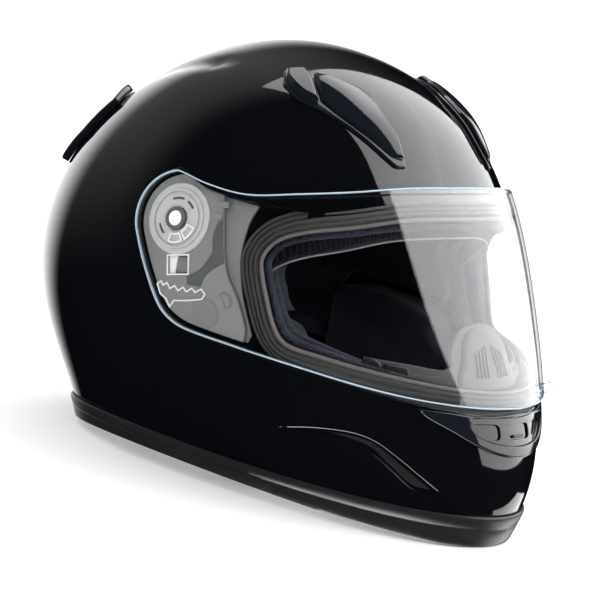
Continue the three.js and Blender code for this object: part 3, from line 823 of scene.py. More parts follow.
def rim_trim():
    """The U-shaped edging round the rim, with rounded corners and a groove along its face."""
    section = [(0.35, 8.26), (1.2, 8.25), (1.9, 8.27), (2.2, 8.31), (2.25, 8.5), (1.75, 8.53),
               (1.75, 8.57), (2.25, 8.6), (2.3, 8.88), (2.1, 8.95), (1.5, 9.0), (-5.6, 9.0),
               (-6.1, 8.95), (-6.2, 8.4), (-5.9, 8.36), (-4.2, 8.36), (-3.9, 8.42), (-3.9, 8.8),
               (0.3, 8.8)]
    build = Build()
    turn = np.linspace(0, 2 * math.pi, 300, endpoint=False)
    rows = []
    for out, u in section:
        points = skin(np.full(300, u), turn, out)
        rise = np.clip((u - 8.6) / 0.4, 0, 1)
        lowest = surface(np.full(300, 9.0), turn)[:, 2]
        points[:, 2] += rise * (rim_height(turn) - lowest)
        if u >= 9:
            points[:, 2] = rim_height(turn)
        rows.append(build.add(points))
    for a, b in zip(rows, rows[1:] + rows[:1]):
        build.band(b, a)
    return build


# ---- Visor and its mechanism -------------------------------------------

def circle(radius, centre=PIVOT, steps=40):
    return from_side([(centre[0] + radius * math.cos(a), centre[1] + radius * math.sin(a))
                      for a in np.linspace(0, 2 * math.pi, steps, endpoint=False)])


def side_shape(points, spacing=1.5, corner=30):
    return from_side(smooth(points, spacing, closed=True, corner=corner))


def rounded_box(y0, y1, z0, z1, r=1.0, steps=3):
    """A rounded rectangle in any flat view."""
    points = []
    for cy, cz, start in ((y1 - r, z1 - r, 0), (y0 + r, z1 - r, 90), (y0 + r, z0 + r, 180),
                          (y1 - r, z0 + r, 270)):
        points += arc(cy, cz, r, start, start + 90, steps)
    return points


def visor_pane():
    holes = [circle(HUB_RADIUS + 0.6, steps=30)]
    holes.append(flipped(holes[0]))
    return plate(VISOR, visor_inner, visor_outer, edge=[(0, 0.7), (0.2, 0.25), (0.7, 0)],
                 holes=holes, spacing=3.2)


def visor_edge_painted_glow():
    """The polished cut edge of the pane: an opaque light-blue strip whose colour is a painted highlight
    for the light the edge catches.
    """
    outer = lambda u, turn: visor_outer(u, turn) + 0.05
    inner = lambda u, turn: visor_inner(u, turn) + 0.3
    return swept(VISOR, [(0.5, outer), (-0.12, outer), (-0.12, inner), (0.5, inner)], True)


def visor_tab():
    """The small lifting tab at the wearer's left of the lower edge."""
    loop = from_front(rounded_box(26, 42, 84, 88, 1.6))
    grip = lambda u, turn: visor_outer(u, turn) + 6.6
    return plate(loop, lambda u, turn: visor_outer(u, turn) - 0.4, grip,
                 edge=[(0, 1.2), (0.5, 0.3), (1.2, 0)], spacing=1.5)


PLATE_LOOP = [*arc(*PIVOT, 26.4, 78, -35, 10), (22.4, 121), (9.3, 101.6), (1, 96), (-9, 93.4),
              (-45, 91), (-47, 96), (-44, 104), (-38, 120), (-33, 140), (-32, 160), (-34, 170),
              (-4, 172.4)]
RAISED_LOOP = [*arc(*PIVOT, 25.8, 78, -35, 10), (21.8, 121), (8.8, 102.2), (0.6, 96.6),
               (-9, 94), (-43.5, 91.8), (-44, 100), (-37, 116), (-27.5, 130), (-20, 152),
               (-13.5, 171)]
SHADE_LOOP = [(-17, 160), (-25.5, 134), (-22, 131), (-16, 124), (-14, 117), (-5, 116), (-4, 121),
              (-12, 127), (-17, 138), (-14.5, 150)]
WINDOW = [(10.5, 129), (-2.5, 132.5), (-4.5, 122.5), (8.5, 119)]
TOOTHED = [(14.5, 111.5), (12.5, 113.2), (10.6, 111.2), (8.2, 113.4), (5.6, 110.6), (2.6, 113),
           (0, 110.8), (-3.2, 113.6), (-5.8, 111.6), (-9, 114.6), (-11.4, 112.8), (-15, 115.6),
           (-17.4, 113.6), (-16, 110.6), (-9.6, 108.4), (-2.8, 106.4), (2.2, 105.2), (4.6, 101),
           (7.4, 104.8), (11.6, 106.6)]
TURRET = -1.2                   # top of the round part of the mechanism, close behind the visor


def plate_floor(u, turn):
    return pocket_floor(u, turn) + 0.4


def mechanism():
    """The grey base plate on the wearer's right and what sits on it: (name, build, look)."""
    parts = []

    def add(name, loop, low, high, look, holes=(), edge=((0, 0.3), (0.3, 0)), spacing=2.4):
        parts.append((name, plate(loop, low, high, edge=edge, spacing=spacing, holes=holes), look))

    def outline(points, spacing=1.0, corner=30):
        return side_shape(points, spacing, corner)
    window, toothed = outline(WINDOW), outline(TOOTHED, 0.8, 25)
    add("visor_plate_base", outline(PLATE_LOOP, 2.5, 40), plate_floor, -6.8, DARK_MECHANISM,
        edge=((0, 0.6), (0.5, 0)))
    add("visor_plate_raised", outline(RAISED_LOOP, 2.2, 40), -6.8, -3.4, MECHANISM, holes=[window],
        edge=((0, 0.9), (0.25, 0.3), (0.8, 0)))
    add("visor_plate_shade", outline(SHADE_LOOP, 1.6), -3.6, -3.0, SHADE_MECHANISM,
        edge=((0, 0.25), (0.25, 0)))
    # The turret, its ring and its disc take the lighter grey that paints in the light falling on the
    # turret.
    add("visor_turret", circle(20.5), -3.6, -2.4, TURRET_PAINTED_LIT, holes=[circle(HUB_RADIUS + 0.3)],
        edge=((0, 0.6), (0.2, 0.2), (0.7, 0)))
    add("visor_turret_ring", circle(17.2, steps=48), -2.5, TURRET, TURRET_PAINTED_LIT,
        holes=[circle(15.6, steps=48)], edge=((0, 0.4), (0.15, 0.1), (0.45, 0)), spacing=1.2)
    add("visor_turret_disc", circle(14.2, steps=44), -2.5, TURRET - 0.3, TURRET_PAINTED_LIT,
        holes=[circle(HUB_RADIUS + 0.3)], edge=((0, 0.4), (0.15, 0.1), (0.45, 0)), spacing=1.5)
    for i, (start, end) in enumerate(((58, 96), (110, 138), (300, 332))):
        groove = [*arc(*PIVOT, 12.2, start, end, 6), *arc(*PIVOT, 10.9, end, start, 6)]
        add("visor_turret_mark_%d" % (i + 1), outline(groove), TURRET - 0.4, TURRET + 0.1,
            SHADE_MECHANISM, edge=((0, 0.15), (0.15, 0)), spacing=1.2)
    for i, (start, end, inner, outer) in enumerate(((188, 229, 8.3, 14), (233, 276, 8.3, 14))):
        cell = [*arc(*PIVOT, outer, start, end, 6), *arc(*PIVOT, inner, end, start, 5)]
        hole = [*arc(*PIVOT, outer - 1.1, start + 5, end - 5, 5),
                *arc(*PIVOT, inner + 1.1, end - 6, start + 6, 4)]
        add("visor_latch_%d" % (i + 1), outline(cell, 0.8), TURRET - 0.4, TURRET + 1.2,
            PALE_PLASTIC_AND_HIGHLIGHT, holes=[outline(hole, 0.8)], edge=((0, 0.4), (0.15, 0.1), (0.4, 0)),
            spacing=0.8)
    for i, z in enumerate((163, 156, 149)):
        rib = [(-11.5, z + 4), (-16 + 1.5 * i - 2, z + 4.6), (-17 + 1.5 * i - 2, z + 1), (-12, z)]
        add("visor_plate_step_%d" % (i + 1), outline(rib), -3.5, -2.5 - 0.25 * i, MECHANISM,
            edge=((0, 0.4), (0.4, 0)), spacing=1.4)
    # The window frame and the track edge are thin near-white rims: painted highlights along the window and
    # the toothed track.
    add("visor_window_frame", moved(window, -0.9), -3.5, -2.6, PALE_PLASTIC_AND_HIGHLIGHT, holes=[window],
        edge=((0, 0.3), (0.25, 0)), spacing=1.2)
    add("visor_window_floor", moved(window, 0.2), -6.9, -5.2, DARK_MECHANISM, spacing=2)
    add("visor_track_edge", moved(toothed, -0.75), -3.5, -2.3, PALE_PLASTIC_AND_HIGHLIGHT,
        holes=[moved(toothed, 0.1)], edge=((0, 0.3), (0.3, 0)), spacing=0.8)
    add("visor_plate_dimple", circle(8.5, (-19, 103), 36), -3.5, -3.0, DARK_MECHANISM,
        edge=((0, 0.3), (0.3, 0)), spacing=2)
    return parts


def hub():
    """The pivot's round head, standing in the visor's hole."""
    return plate(circle(HUB_RADIUS, steps=40), -6.2, 0.9, edge=[(0, 0.9), (0.2, 0.3), (0.7, 0)],
                 holes=[circle(4.6, steps=32)], spacing=1.0)


def hub_cap():
    return plate(circle(4.4, steps=32), -6.0, 0.3, edge=[(0, 0.5), (0.2, 0.15), (0.6, 0)],
                 spacing=1.0)


def release_lever():
    y, z = PIVOT
    loop = side_shape([*rounded_box(y - 5, y + 5, z - 34, z - 18, 1.5)], 1.2, 60)
    return plate(loop, -6.9, -4.6, edge=[(0, 0.5), (0.5, 0)], spacing=1.2)


def detent_rack():
    outer = arc(*PIVOT, 46, -120, -88, 14)
    inner = []
    for i in range(25):
        radius = 41.3 + 1.2 * math.cos(i * math.pi / 2)
        inner.append((PIVOT[0] + radius * math.cos((-88 - 32 * i / 24) * DEG),
                      PIVOT[1] + radius * math.sin((-88 - 32 * i / 24) * DEG)))
    return plate(from_side([*outer, *inner]), -5.2, -3.9, edge=[(0, 0.25), (0.25, 0)], spacing=1.2)


def screw(y, z):
    """A slotted screw: a base disc with two half-round lands on it."""
    build = plate(circle(4.8, (y, z), 32), -5.2, -2.9, edge=[(0, 0.4), (0.4, 0)], spacing=1.2)
    for first in (40, 220):
        angles = np.radians(np.linspace(first + 5, first + 165, 14))
        half = [(y + 4.0 * math.sin(a), z + 4.0 * math.cos(a)) for a in angles]
        build.join(plate(from_side(half), -3.2, -2.2, edge=[(0, 0.3), (0.15, 0.08), (0.4, 0)],
                         spacing=1.0))
    return build


def seal_height(share, sink=0.0):
    """A height between the pocket's floor and just under the visor."""
    def height(u, turn):
        floor = pocket_floor(u, turn)
        return floor + share * (visor_inner(u, turn) - 0.7 - floor) - sink
    return height


def gasket():
    """The eye opening's rubber seal: stepped ridges up to the visor."""
    profile = [(-6.2, 0.02), (-6.0, 0.3), (-5.4, 0.4), (-3.9, 0.42), (-3.4, 0.32), (-2.9, 0.32),
               (-2.4, 0.56), (-1.8, 0.64), (-0.8, 0.64), (-0.3, 0.54), (0.2, 0.54), (0.7, 0.8),
               (1.2, 0.88), (2.6, 0.9), (3.1, 0.8), (3.6, 0.8), (4.0, 0.98), (4.5, 1.0),
               (5.3, 0.98), (5.7, 0.8), (6.4, 0.7), (6.9, 0.5), (7.0, 0.1)]
    section = [(inset, seal_height(share)) for inset, share in profile]
    section += [(7.0, seal_height(0, 4.0)), (0.6, seal_height(0, 4.0)), (0.5, seal_height(0, 0.1))]
    return swept(EYEPORT, section, True)


def gasket_lip():
    bead = []
    for angle in np.linspace(math.pi, -math.pi, 10, endpoint=False):
        rise = 1.6 * math.sin(angle) - 3.2
        bead.append((7.6 + 1.2 * math.cos(angle), lambda u, t, rise=rise: visor_inner(u, t) + rise))
    return swept(EYEPORT, bead, True)


def opening_binding():
    """The padded mesh strip that lines the eye opening behind its seal, going inwards."""
    profile = [(7.4, 2.6), (8.4, 1.6), (9.8, 2.2), (10.8, 5), (11.0, 8), (10.4, 10.6), (9.0, 11.8),
               (9.0, 12.6), (10.6, 13.8), (11.4, 17), (11.2, 21), (10.0, 24.4), (7, 26),
               (4.5, 24), (4.5, 6)]
    return swept(EYEPORT, [(inset, seal_height(0.25, sink)) for inset, sink in profile], True)


def brow_edge(turn, drop):
    """Rows of the surface `drop` below the eye opening's upper edge."""
    upper = EYEPORT[(EYEPORT[:, 0] < 4.6)]
    order = np.argsort(upper[:, 1])
    return np.interp(turn, upper[order, 1], upper[order, 0]) + drop


def brow_sag(turn):
    """How far the band hangs below the seal: an arch, highest at the centre."""
    return 0.3 + 0.2 * (turn / (60 * DEG)) ** 2


def brow_band():
    """The ribbed knit band across the brow, below the seal and further in."""
    turn = np.linspace(-66, 66, 67) * DEG
    sag = brow_sag(turn)
    loop = np.concatenate([np.column_stack([brow_edge(turn, sag), turn]),
                           np.column_stack([brow_edge(turn, -0.15), turn])[::-1]])
    return plate(loop, -24, -15, edge=[(0, 3), (0.6, 1.2), (2, 0)], spacing=3)


def brow_piping():
    """The pale stitched cord along the band's lower edge."""
    turn = np.linspace(-64, 64, 90) * DEG
    line = skin(brow_edge(turn, brow_sag(turn) + 0.02), turn, -17.5)
    return tube(line, 0.55, closed=False, sides=8)


# ---- Vents -------------------------------------------------------------

VENT_SLIDER = [(-56, -14), (-67, -30), (-65, -42), (-59, -57), (-50, -72), (-43.5, -76), (-41, -68),
               (-42, -58), (-39.5, -43), (-43.5, -34)]
VENT_SCOOP = [(-64, 0), (-70, -6), (-73, -20), (-70.5, -31), (-67.6, -29), (-57.6, -13), (-56, -8)]
VENT_BASE = [(-63, 2), (-72, -6), (-75, -20), (-69, -39), (-60, -60), (-50, -76), (-43, -79),
             (-39.5, -68), (-40, -58), (-36.5, -43), (-41, -32), (-54, -8)]
REAR_VENT = [(-50, 126), (-60, 112), (-80, 104), (-84, 120), (-77, 138), (-58, 148), (-50, 140)]


def top_shape(points, spacing=1.6, corner=35):
    return from_top(smooth(points, spacing, closed=True, corner=corner))


def vent_slider():
    def height(u, turn):
        points = surface(u, turn)
        ridge, _ = near_path(points[..., :2] * np.where(points[..., :1] > 0, (-1, 1), 1),
                             [(-57, -22), (-53, -50), (-44, -74)])
        t = np.clip(3.2 - u, 0, 1)
        return 4.4 + 2.4 * t * t * (3 - 2 * t) - 0.24 * np.sqrt(np.minimum(ridge, 12) ** 2 + 9)
    return plate(top_shape(VENT_SLIDER), 2.4, height, edge=[(0, 1.6), (0.4, 0.6), (1.5, 0)],
                 spacing=2.0)


def vent_scoop():
    return plate(top_shape(VENT_SCOOP), 0.9, 6.2, edge=[(0, 3.6), (0.5, 2.2), (1.4, 0.8), (2.6, 0)],
                 spacing=2.0)


def vent_foot():
    return plate(top_shape(VENT_BASE), 0.1, 1.8, edge=[(0, 0.9), (0.4, 0.2), (1.2, 0)], spacing=2.5)


def rear_vent():
    def height(u, turn):
        t = np.clip((np.arccos(np.cos(turn)) / DEG - 100) / 50, 0, 1)
        return 1.5 + 4 * t * t * (3 - 2 * t)
    return plate(top_shape(REAR_VENT), 0.1, height, edge=[(0, 1.2), (0.5, 0.4), (1.6, 0)],
                 spacing=2.5)


PANEL = [(75.2, 0), (75.6, 20), (75.0, 34), (70, 36.5), (66, 33), (63, 27), (60.6, 16), (59.6, 0)]
CHIN_VENT = [(74.5, 0), (76, 30), (77, 50), (77, 62), (73, 58), (67, 46), (61, 34), (56, 20), (53.5, 0)]


def front_shape(half, spacing=1.6):
    """A front-view outline from its right half, given as (z, x)."""
    ends = [half[0], *half[1:-1], half[-1]]
    points = [(-x, z) for z, x in ends] + [(x, z) for z, x in ends[-2:0:-1]]
    return from_front(smooth(points, spacing, closed=True, corner=40))


def chin_cover():
    panel = moved(front_shape(PANEL), 0)
    return plate(front_shape([(77, 0), *CHIN_VENT[1:]]), 0.1, 2.6,
                 edge=[(0, 0.9), (0.4, 0.2), (1.1, 0)], holes=[panel], spacing=2.2)


def chin_panel():
    slots = [from_front(rounded_box(low, high, 63.5, 71.5, 2.6)) for low, high in
             ((-12, 12), (-35, -16), (16, 35))]
    return plate(moved(front_shape(PANEL), 0.35), 0.15, 1.2, edge=[(0, 0.3), (0.3, 0)], holes=slots,
                 spacing=1.8)


def chin_shutter():
    build = plate(from_front(rounded_box(-38, 38, 61, 74, 2)), -9.2, -6.9, spacing=2.5)
    build.join(plate(from_front(rounded_box(-5, 5, 64.3, 66.1, 0.6)), -7.4, 1.5, spacing=1.5))
    return build


def side_insert():
    outline = [(-94, 53.6), (-104, 54.2), (-115, 52.8), (-126, 45.5), (-137, 36.6), (-142.5, 31.6),
               (-134, 32.8), (-124, 41.6), (-113, 50.6)]
    return plate(side_shape(outline, 2.0, 40), -1.9, -1.2, edge=[(0, 0.25), (0.25, 0)], spacing=2.5)


# ---- Breath guard ------------------------------------------------------

GUARD_HALF = [(126, 0), (125.5, 5), (122.5, 19), (112, 30.5), (103, 33.5), (100.8, 40), (101, 60),
              (100, 83), (80, 83), (72, 60), (72, 0)]


def breath_guard():
    return plate(front_shape(GUARD_HALF, 2.5), -13.5, -11, edge=[(0, 0.8), (0.5, 0.2), (1.2, 0)],
                 spacing=3.0)


def guard_nose():
    half = [(124, 0), (122, 13), (115, 21), (104, 26), (97, 31), (86, 33), (80, 16), (78, 0)]
    return plate(front_shape(half, 2.0), -11, -8.4, edge=[(0, 2.2), (0.8, 1.0), (2.2, 0.2), (3, 0)],
                 spacing=2.5)


def guard_ribs():
    """Two fans of upright ribs, one on each side of the nose."""
    build = Build()
    for sense in (-1, 1):
        for i in range(4):
            x = 3.5 + 3.4 * i
            spine = [(x, 114 - 1.4 * i), (x + 0.9, 106), (x + 2.4, 97)]
            line = smooth(spine, 2.0)
            outline = np.concatenate([line - (0.45, 0), (line + (0.45, 0))[::-1]]) * (sense, 1)
            build.join(plate(from_front(outline), -8.5, -7.4, edge=[(0, 0.3), (0.2, 0)], spacing=2))
    return build


def guard_clip(side_x):
    """The clip at the guard's end: a round knob and a small block."""
    build = plate(from_front(arc(-side_x, 96, 4.2, 0, 345, 23)), -11.2, -6.5,
                  edge=[(0, 1.6), (0.5, 0.5), (1.4, 0)], spacing=1.5)
    build.join(plate(from_front(rounded_box(-side_x + 5.5, -side_x + 17, 92, 98.5, 1)), -11.2, -7,
                     edge=[(0, 1.0), (0.3, 0.3), (1.0, 0)], spacing=1.5))
    return build


def guard_panel():
    """The raised panel beside the nose, on both sides."""
    build = Build()
    shape = [(-31, 98), (-32.5, 88), (-60, 85), (-76, 88), (-74, 95), (-52, 96.5)]
    for sense in (1, -1):
        outline = smooth(np.array(shape) * (sense, 1), 2.5, closed=True, corner=40)
        build.join(plate(from_front(outline), -11, -9.8, edge=[(0, 0.9), (0.5, 0.2), (1.2, 0)],
                         spacing=3))
    return build


# ---- Straps, rings and anchors -----------------------------------------

STRAP_LOW, STRAP_HIGH, STRAP_X, STRAP_Y = 16.0, 40.0, 56.4, 38.0
RING_AXIS = (-51.0, -24.0)


def ribbon(path, low, high, thick, mirrored=False):
    """Webbing standing on edge along a plan-view path, with rounded selvedges."""
    p = smooth(path, 2.0)
    ahead = np.gradient(p, axis=0)
    side = np.stack([-ahead[:, 1], ahead[:, 0]], -1)
    side /= np.linalg.norm(side, axis=1, keepdims=True)
    t = thick / 2
    section = [(t, low + 0.7), (t, high - 0.7), (0.4 * t, high), (-0.4 * t, high), (-t, high - 0.7),
               (-t, low + 0.7), (-0.4 * t, low), (0.4 * t, low)]
    build = Build()
    rows = []
    for across, z in section:
        flat = p + side * across
        points = np.column_stack([flat, np.full(len(p), z)])
        if mirrored:
            points[:, 0] *= -1
        rows.append(build.add(points))
    for a, b in zip(rows, rows[1:] + rows[:1]):
        build.band(*((a, b) if mirrored else (b, a)), closed=False)
    for end in (0, -1):
        face = [int(row[end]) for row in rows]
        build.faces.append(face if (end == 0) != mirrored else face[::-1])
    return build


def strap(front, mirrored=False):
    path = [(-84, STRAP_Y), (-70, STRAP_Y), (-60.5, STRAP_Y - 0.6), (-57, STRAP_Y - 4),
            (-STRAP_X, STRAP_Y - 10), (-STRAP_X, (front + STRAP_Y) / 2), (-STRAP_X, front)]
    return ribbon(path, STRAP_LOW, STRAP_HIGH, 1.8, mirrored)


def strap_loop():
    return ribbon(arc(*RING_AXIS, 5.45, -170, 170, 24), STRAP_LOW, STRAP_HIGH, 1.5)


def tube(path, radius, closed=True, sides=12):
    """A round bar along a path of 3-D points."""
    p = np.asarray(path, float)
    if closed:
        ahead = unit(np.roll(p, -1, 0) - np.roll(p, 1, 0))
    else:
        ahead = unit(np.gradient(p, axis=0))
    build = Build()
    first = np.cross(ahead, (1.0, 0.0, 0.0))
    a = unit(first)
    b = np.cross(ahead, a)
    rows = [build.add(p + radius * (math.cos(t) * a + math.sin(t) * b))
            for t in np.linspace(0, 2 * math.pi, sides, endpoint=False)]
    for r, s in zip(rows, rows[1:] + rows[:1]):
        build.band(s, r, closed)
    return build


def d_ring(offset):
    x, y = RING_AXIS
    wire = 1.6
    middle, half = (STRAP_LOW + STRAP_HIGH) / 2, (STRAP_HIGH - STRAP_LOW) / 2 + 2 * wire + 0.5
    reach = half - wire
    flat = [*arc(y - 1.4, middle + reach - 1.4, 1.4, 0, 90, 4),
            *arc(y - 8, middle, reach, 90, 270, 30), *arc(y - 1.4, middle - reach + 1.4, 1.4, 270, 360, 4)]
    return tube([(x + offset, a, b) for a, b in smooth(flat, 1.5, closed=True)], wire)


def block(outline, low, high, bevel=0.6, axis=0):
    """A flat-topped solid on an outline across X, with a bevelled rim."""
    build = Build()
    p = np.asarray(outline, float)
    middle = p.mean(0)
    inner = middle + (p - middle) * (1 - bevel / np.linalg.norm(p - middle, axis=1, keepdims=True))

    def row(flat, level):
        return build.add(np.column_stack([np.full(len(flat), level), flat]))
    rows = [row(inner, low), row(p, low + bevel), row(p, high - bevel), row(inner, high)]
    for a, b in zip(rows[:-1], rows[1:]):
        build.band(a, b)
    build.faces.append([int(i) for i in rows[0][::-1]])
    build.faces.append([int(i) for i in rows[-1]])
    return build


def strap_anchor():
    outline = rounded_box(STRAP_Y - 8, STRAP_Y + 8, STRAP_LOW + 4, STRAP_HIGH + 6, 2.5, 5)
    build = block(outline, -86.6, -84.4)
    build.join(block([(STRAP_Y + 4 * math.cos(a), STRAP_HIGH + 4 * math.sin(a)) for a in
                      np.linspace(0, 2 * math.pi, 24, endpoint=False)], -96.5, -86.4, 0.8))
    return build


# ---- Padding -----------------------------------------------------------

def remeshed(name, nodes, voxel):
    """A fine copy of a CAD node's solid, as a new mesh."""
    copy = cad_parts[nodes].copy()
    copy.data = copy.data.copy()
    for key in list(copy.keys()):
        del copy[key]
    copy.parent = None
    copy.name = name
    copy.data.name = name
    copy.hide_render = copy.hide_viewport = False
    bpy.context.scene.collection.objects.link(copy)
    modifier = copy.modifiers.new("voxels", "REMESH")
    modifier.mode = "VOXEL"
    modifier.voxel_size = voxel
    modifier.use_smooth_shade = True
    return bake(copy)


def bake(obj):
    """Turns what the modifiers show into the object's own mesh."""
    graph = bpy.context.evaluated_depsgraph_get()
    data = bpy.data.meshes.new_from_object(obj.evaluated_get(graph))
    old = obj.data
    obj.modifiers.clear()
    obj.data = data
    bpy.data.meshes.remove(old)
    data.name = obj.name
    return obj


def coordinates(data):
    values = np.empty(len(data.vertices) * 3, np.float32)
    data.vertices.foreach_get("co", values)
    return values.reshape(-1, 3)


def normals_of(data):
    values = np.empty(len(data.vertices) * 3, np.float32)
    data.vertices.foreach_get("normal", values)
    return values.reshape(-1, 3)


def padded(name, node, material, slot, shrink, limit, fill, relax=4, voxel=0.005):
    """A stuffed piece: shrunk a little, blown up as cloth, and capped in how far it moves."""
    obj = remeshed(name, node, voxel)
    relaxed = obj.modifiers.new("relax", "SMOOTH")
    relaxed.factor, relaxed.iterations = 0.5, relax
    bake(obj)
    rest = coordinates(obj.data) - normals_of(obj.data) * shrink
    obj.data.vertices.foreach_set("co", rest.ravel())
    obj.data.update()
    modifier = obj.modifiers.new("stuffing", "CLOTH")
    modifier.settings.use_pressure = True
    modifier.settings.uniform_pressure_force = 4
    modifier.settings.effector_weights.gravity = 0
    modifier.settings.quality = 3
    for number in range(1, 21):
        bpy.context.scene.frame_set(number)
    bake(obj)
    bpy.context.scene.frame_set(1)
    move = coordinates(obj.data) - rest
    length = np.linalg.norm(move, axis=1, keepdims=True)
    rest = rest + move * np.minimum(1, limit / np.maximum(length, 1e-9))
    obj.data.vertices.foreach_set("co", rest.astype(np.float32).ravel())
    finer = obj.modifiers.new("finer", "SUBSURF")
    finer.levels = finer.render_levels = 1
    bake(obj)
    obj.data.shade_smooth()
    obj.data.materials.clear()
    obj.data.materials.append(material)
    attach(obj, "shell")
    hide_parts(node)
    return obj


# ---- The pieces --------------------------------------------------------

def build_outside():
    piece("shell_skin", helmet_shell().mesh("shell_skin"), "shell", (GLOSS, BLACK_PLASTIC),
          ["outer_shell"])
    piece("rim_edging", rim_trim().mesh("rim_edging", 40), "shell", BLACK_PLASTIC, ["bottom_trim"])
    piece("visor_pane", visor_pane().mesh("visor_pane"), "visor", PANE, ["visor"])
    piece("visor_edge_painted_glow", visor_edge_painted_glow().mesh("visor_edge_painted_glow"), "visor", PAINTED_EDGE_GLOW, ())
    piece("visor_tab", visor_tab().mesh("visor_tab"), "visor", PANE, ())
    piece("eye_seal", gasket().mesh("eye_seal", 35), "shell", RUBBER, ["eyeport_gasket"])
    piece("eye_seal_lip", gasket_lip().mesh("eye_seal_lip"), "shell", LIP_RUBBER, ())
    piece("opening_binding", opening_binding().mesh("opening_binding"), "shell", KNIT, ())
    piece("brow_band", brow_band().mesh("brow_band"), "shell", RIBBED, ())
    piece("brow_piping", brow_piping().mesh("brow_piping"), "shell", PIPING, ())
    piece("chin_vent", chin_cover().mesh("chin_vent"), "shell", VENT_GLOSS, ["chin_vent_cover"])
    piece("chin_vent_panel", chin_panel().mesh("chin_vent_panel"), "shell", VENT_GLOSS, ())
    piece("chin_shutter", chin_shutter().mesh("chin_shutter"), "chin_shutter", BLACK_PLASTIC,
          ["chin_vent_shutter"])
    piece("nose_guard", breath_guard().mesh("nose_guard"), "shell", GUARD, ["breath_guard"])
    piece("nose_guard_cup", guard_nose().mesh("nose_guard_cup"), "shell", GUARD, ())
    piece("nose_guard_panel", guard_panel().mesh("nose_guard_panel"), "shell", GUARD, ())
    piece("nose_guard_ribs", guard_ribs().mesh("nose_guard_ribs"), "shell", GUARD, ())


def build_side(side):
    """What comes in pairs, on the wearer's right or left."""
    mirrored = side == "left"

    def add(name, build, body, look, nodes=(), slot=None, sharp=None):
        if mirrored:
            build.mirror()
        piece("%s_%s" % (name, side), build.mesh("%s_%s" % (name, side), sharp), body, look,
              ["%s_%s" % (node, side) for node in nodes])
    for name, build, look in mechanism():
        node = ["visor_base_plate"] if name == "visor_plate_base" else []
        add(name, build, "shell", look, node, "plate_plastic")
    add("pivot_hub", hub(), "shell", SHADE_MECHANISM, ["visor_hub"], "plate_plastic")
    add("pivot_cap", hub_cap(), "shell", PALE_PLASTIC_AND_HIGHLIGHT, (), "plate_plastic")
    add("release_catch", release_lever(), "release_lever_%s" % side, PALE_PLASTIC_AND_HIGHLIGHT,
        ["visor_release_lever"], "plate_plastic")
    add("detent_teeth", detent_rack(), "shell", PALE_PLASTIC_AND_HIGHLIGHT, ["visor_detent_rack"],
        "plate_plastic")
    add("plate_fastener", screw(-30, 113), "shell", MECHANISM, ["plate_screw"], "plate_plastic")
    add("vent_foot", vent_foot(), "shell", VENT_GLOSS, ["forehead_vent_base"], "gloss_vent")
    add("vent_scoop", vent_scoop(), "shell", VENT_GLOSS, (), "gloss_vent")
    add("vent_slide", vent_slider(), "vent_slider_%s" % side, VENT_GLOSS,
        ["forehead_vent_slider"], "gloss_vent")
    add("rear_outlet", rear_vent(), "shell", VENT_GLOSS, ["rear_vent"], "gloss_vent")
    add("guard_clip", guard_clip(80), "shell", BLACK_PLASTIC, (), "guard_plastic")
    add("side_trim", side_insert(), "shell", BLACK_PLASTIC, ["side_vent_insert"], "trim_plastic")
    add("strap_plate", strap_anchor(), "shell", STEEL, ["strap_anchor"], "fastener_steel", 40)


def build_straps():
    short = strap(RING_AXIS[1])
    short.join(strap_loop())
    piece("strap_with_rings", short.mesh("strap_with_rings", 40), "shell", STRAP,
          ["chin_strap_short"])
    piece("strap_long", strap(-66, True).mesh("strap_long", 40), "shell", STRAP, ["chin_strap_long"])
    for name, node, offset in (("ring_outer", "d_ring_outer", -2.1), ("ring_inner", "d_ring_inner", 2.1)):
        piece(name, d_ring(offset).mesh(name), "d_rings", STEEL, [node])


def build_lining():
    for name, node in (("foam_shell", "impact_liner"), ("foam_chin", "chin_liner")):
        obj = remeshed(name, node, 0.004)
        obj.data.materials.clear()
        obj.data.materials.append(FOAM)
        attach(obj, "shell")
        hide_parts(node)
    padded("crown_lining", "crown_pad", LINING, "lining_fabric", 0.0012, 0.003, 0.5)
    padded("cheek_cushion_right", "cheek_pad_right", LINING, "lining_fabric", 0.002, 0.006, 0.7, relax=22)
    padded("cheek_cushion_left", "cheek_pad_left", LINING, "lining_fabric", 0.002, 0.006, 0.7, relax=22)
    padded("neck_cushion", "neck_roll", NECK, "neck_fabric", 0.002, 0.005, 0.6)


build_outside()
build_side("right")
build_side("left")
build_straps()
build_lining()


# ---- Stage, light and camera -------------------------------------------

CAMERA_TURN, CAMERA_RISE, CAMERA_ROLL = -54.33 * DEG, 9.23 * DEG, 11.04 * DEG
CAMERA_DISTANCE = 1551.0
LOOK_AT = np.array([0.0, 10.0, 130.0])


def camera_axes():
    a, e, r = CAMERA_TURN, CAMERA_RISE, CAMERA_ROLL
    back = np.array([math.sin(a) * math.cos(e), -math.cos(a) * math.cos(e), math.sin(e)])
    right = np.array([math.cos(a), math.sin(a), 0.0])
    up = np.cross(back, right)
    return (back, math.cos(r) * right + math.sin(r) * up, -math.sin(r) * right + math.cos(r) * up)


def camera():
    back, right, up = camera_axes()
    data = bpy.data.cameras.new("camera")
    data.lens = 155.2
    data.sensor_width = 36
    data.clip_end = 50
    obj = bpy.data.objects.new("camera", data)
    bpy.context.scene.collection.objects.link(obj)
    eye = LOOK_AT + back * CAMERA_DISTANCE
    aim = LOOK_AT - up * 29.6 - right * 1.9
    z = unit(eye - aim)
    x = unit(np.cross(up, z))
    y = np.cross(z, x)
    turn = Matrix([[x[i], y[i], z[i]] for i in range(3)]).to_4x4()
    obj.matrix_world = Matrix.Translation(Vector(put(eye))) @ turn
    bpy.context.scene.camera = obj


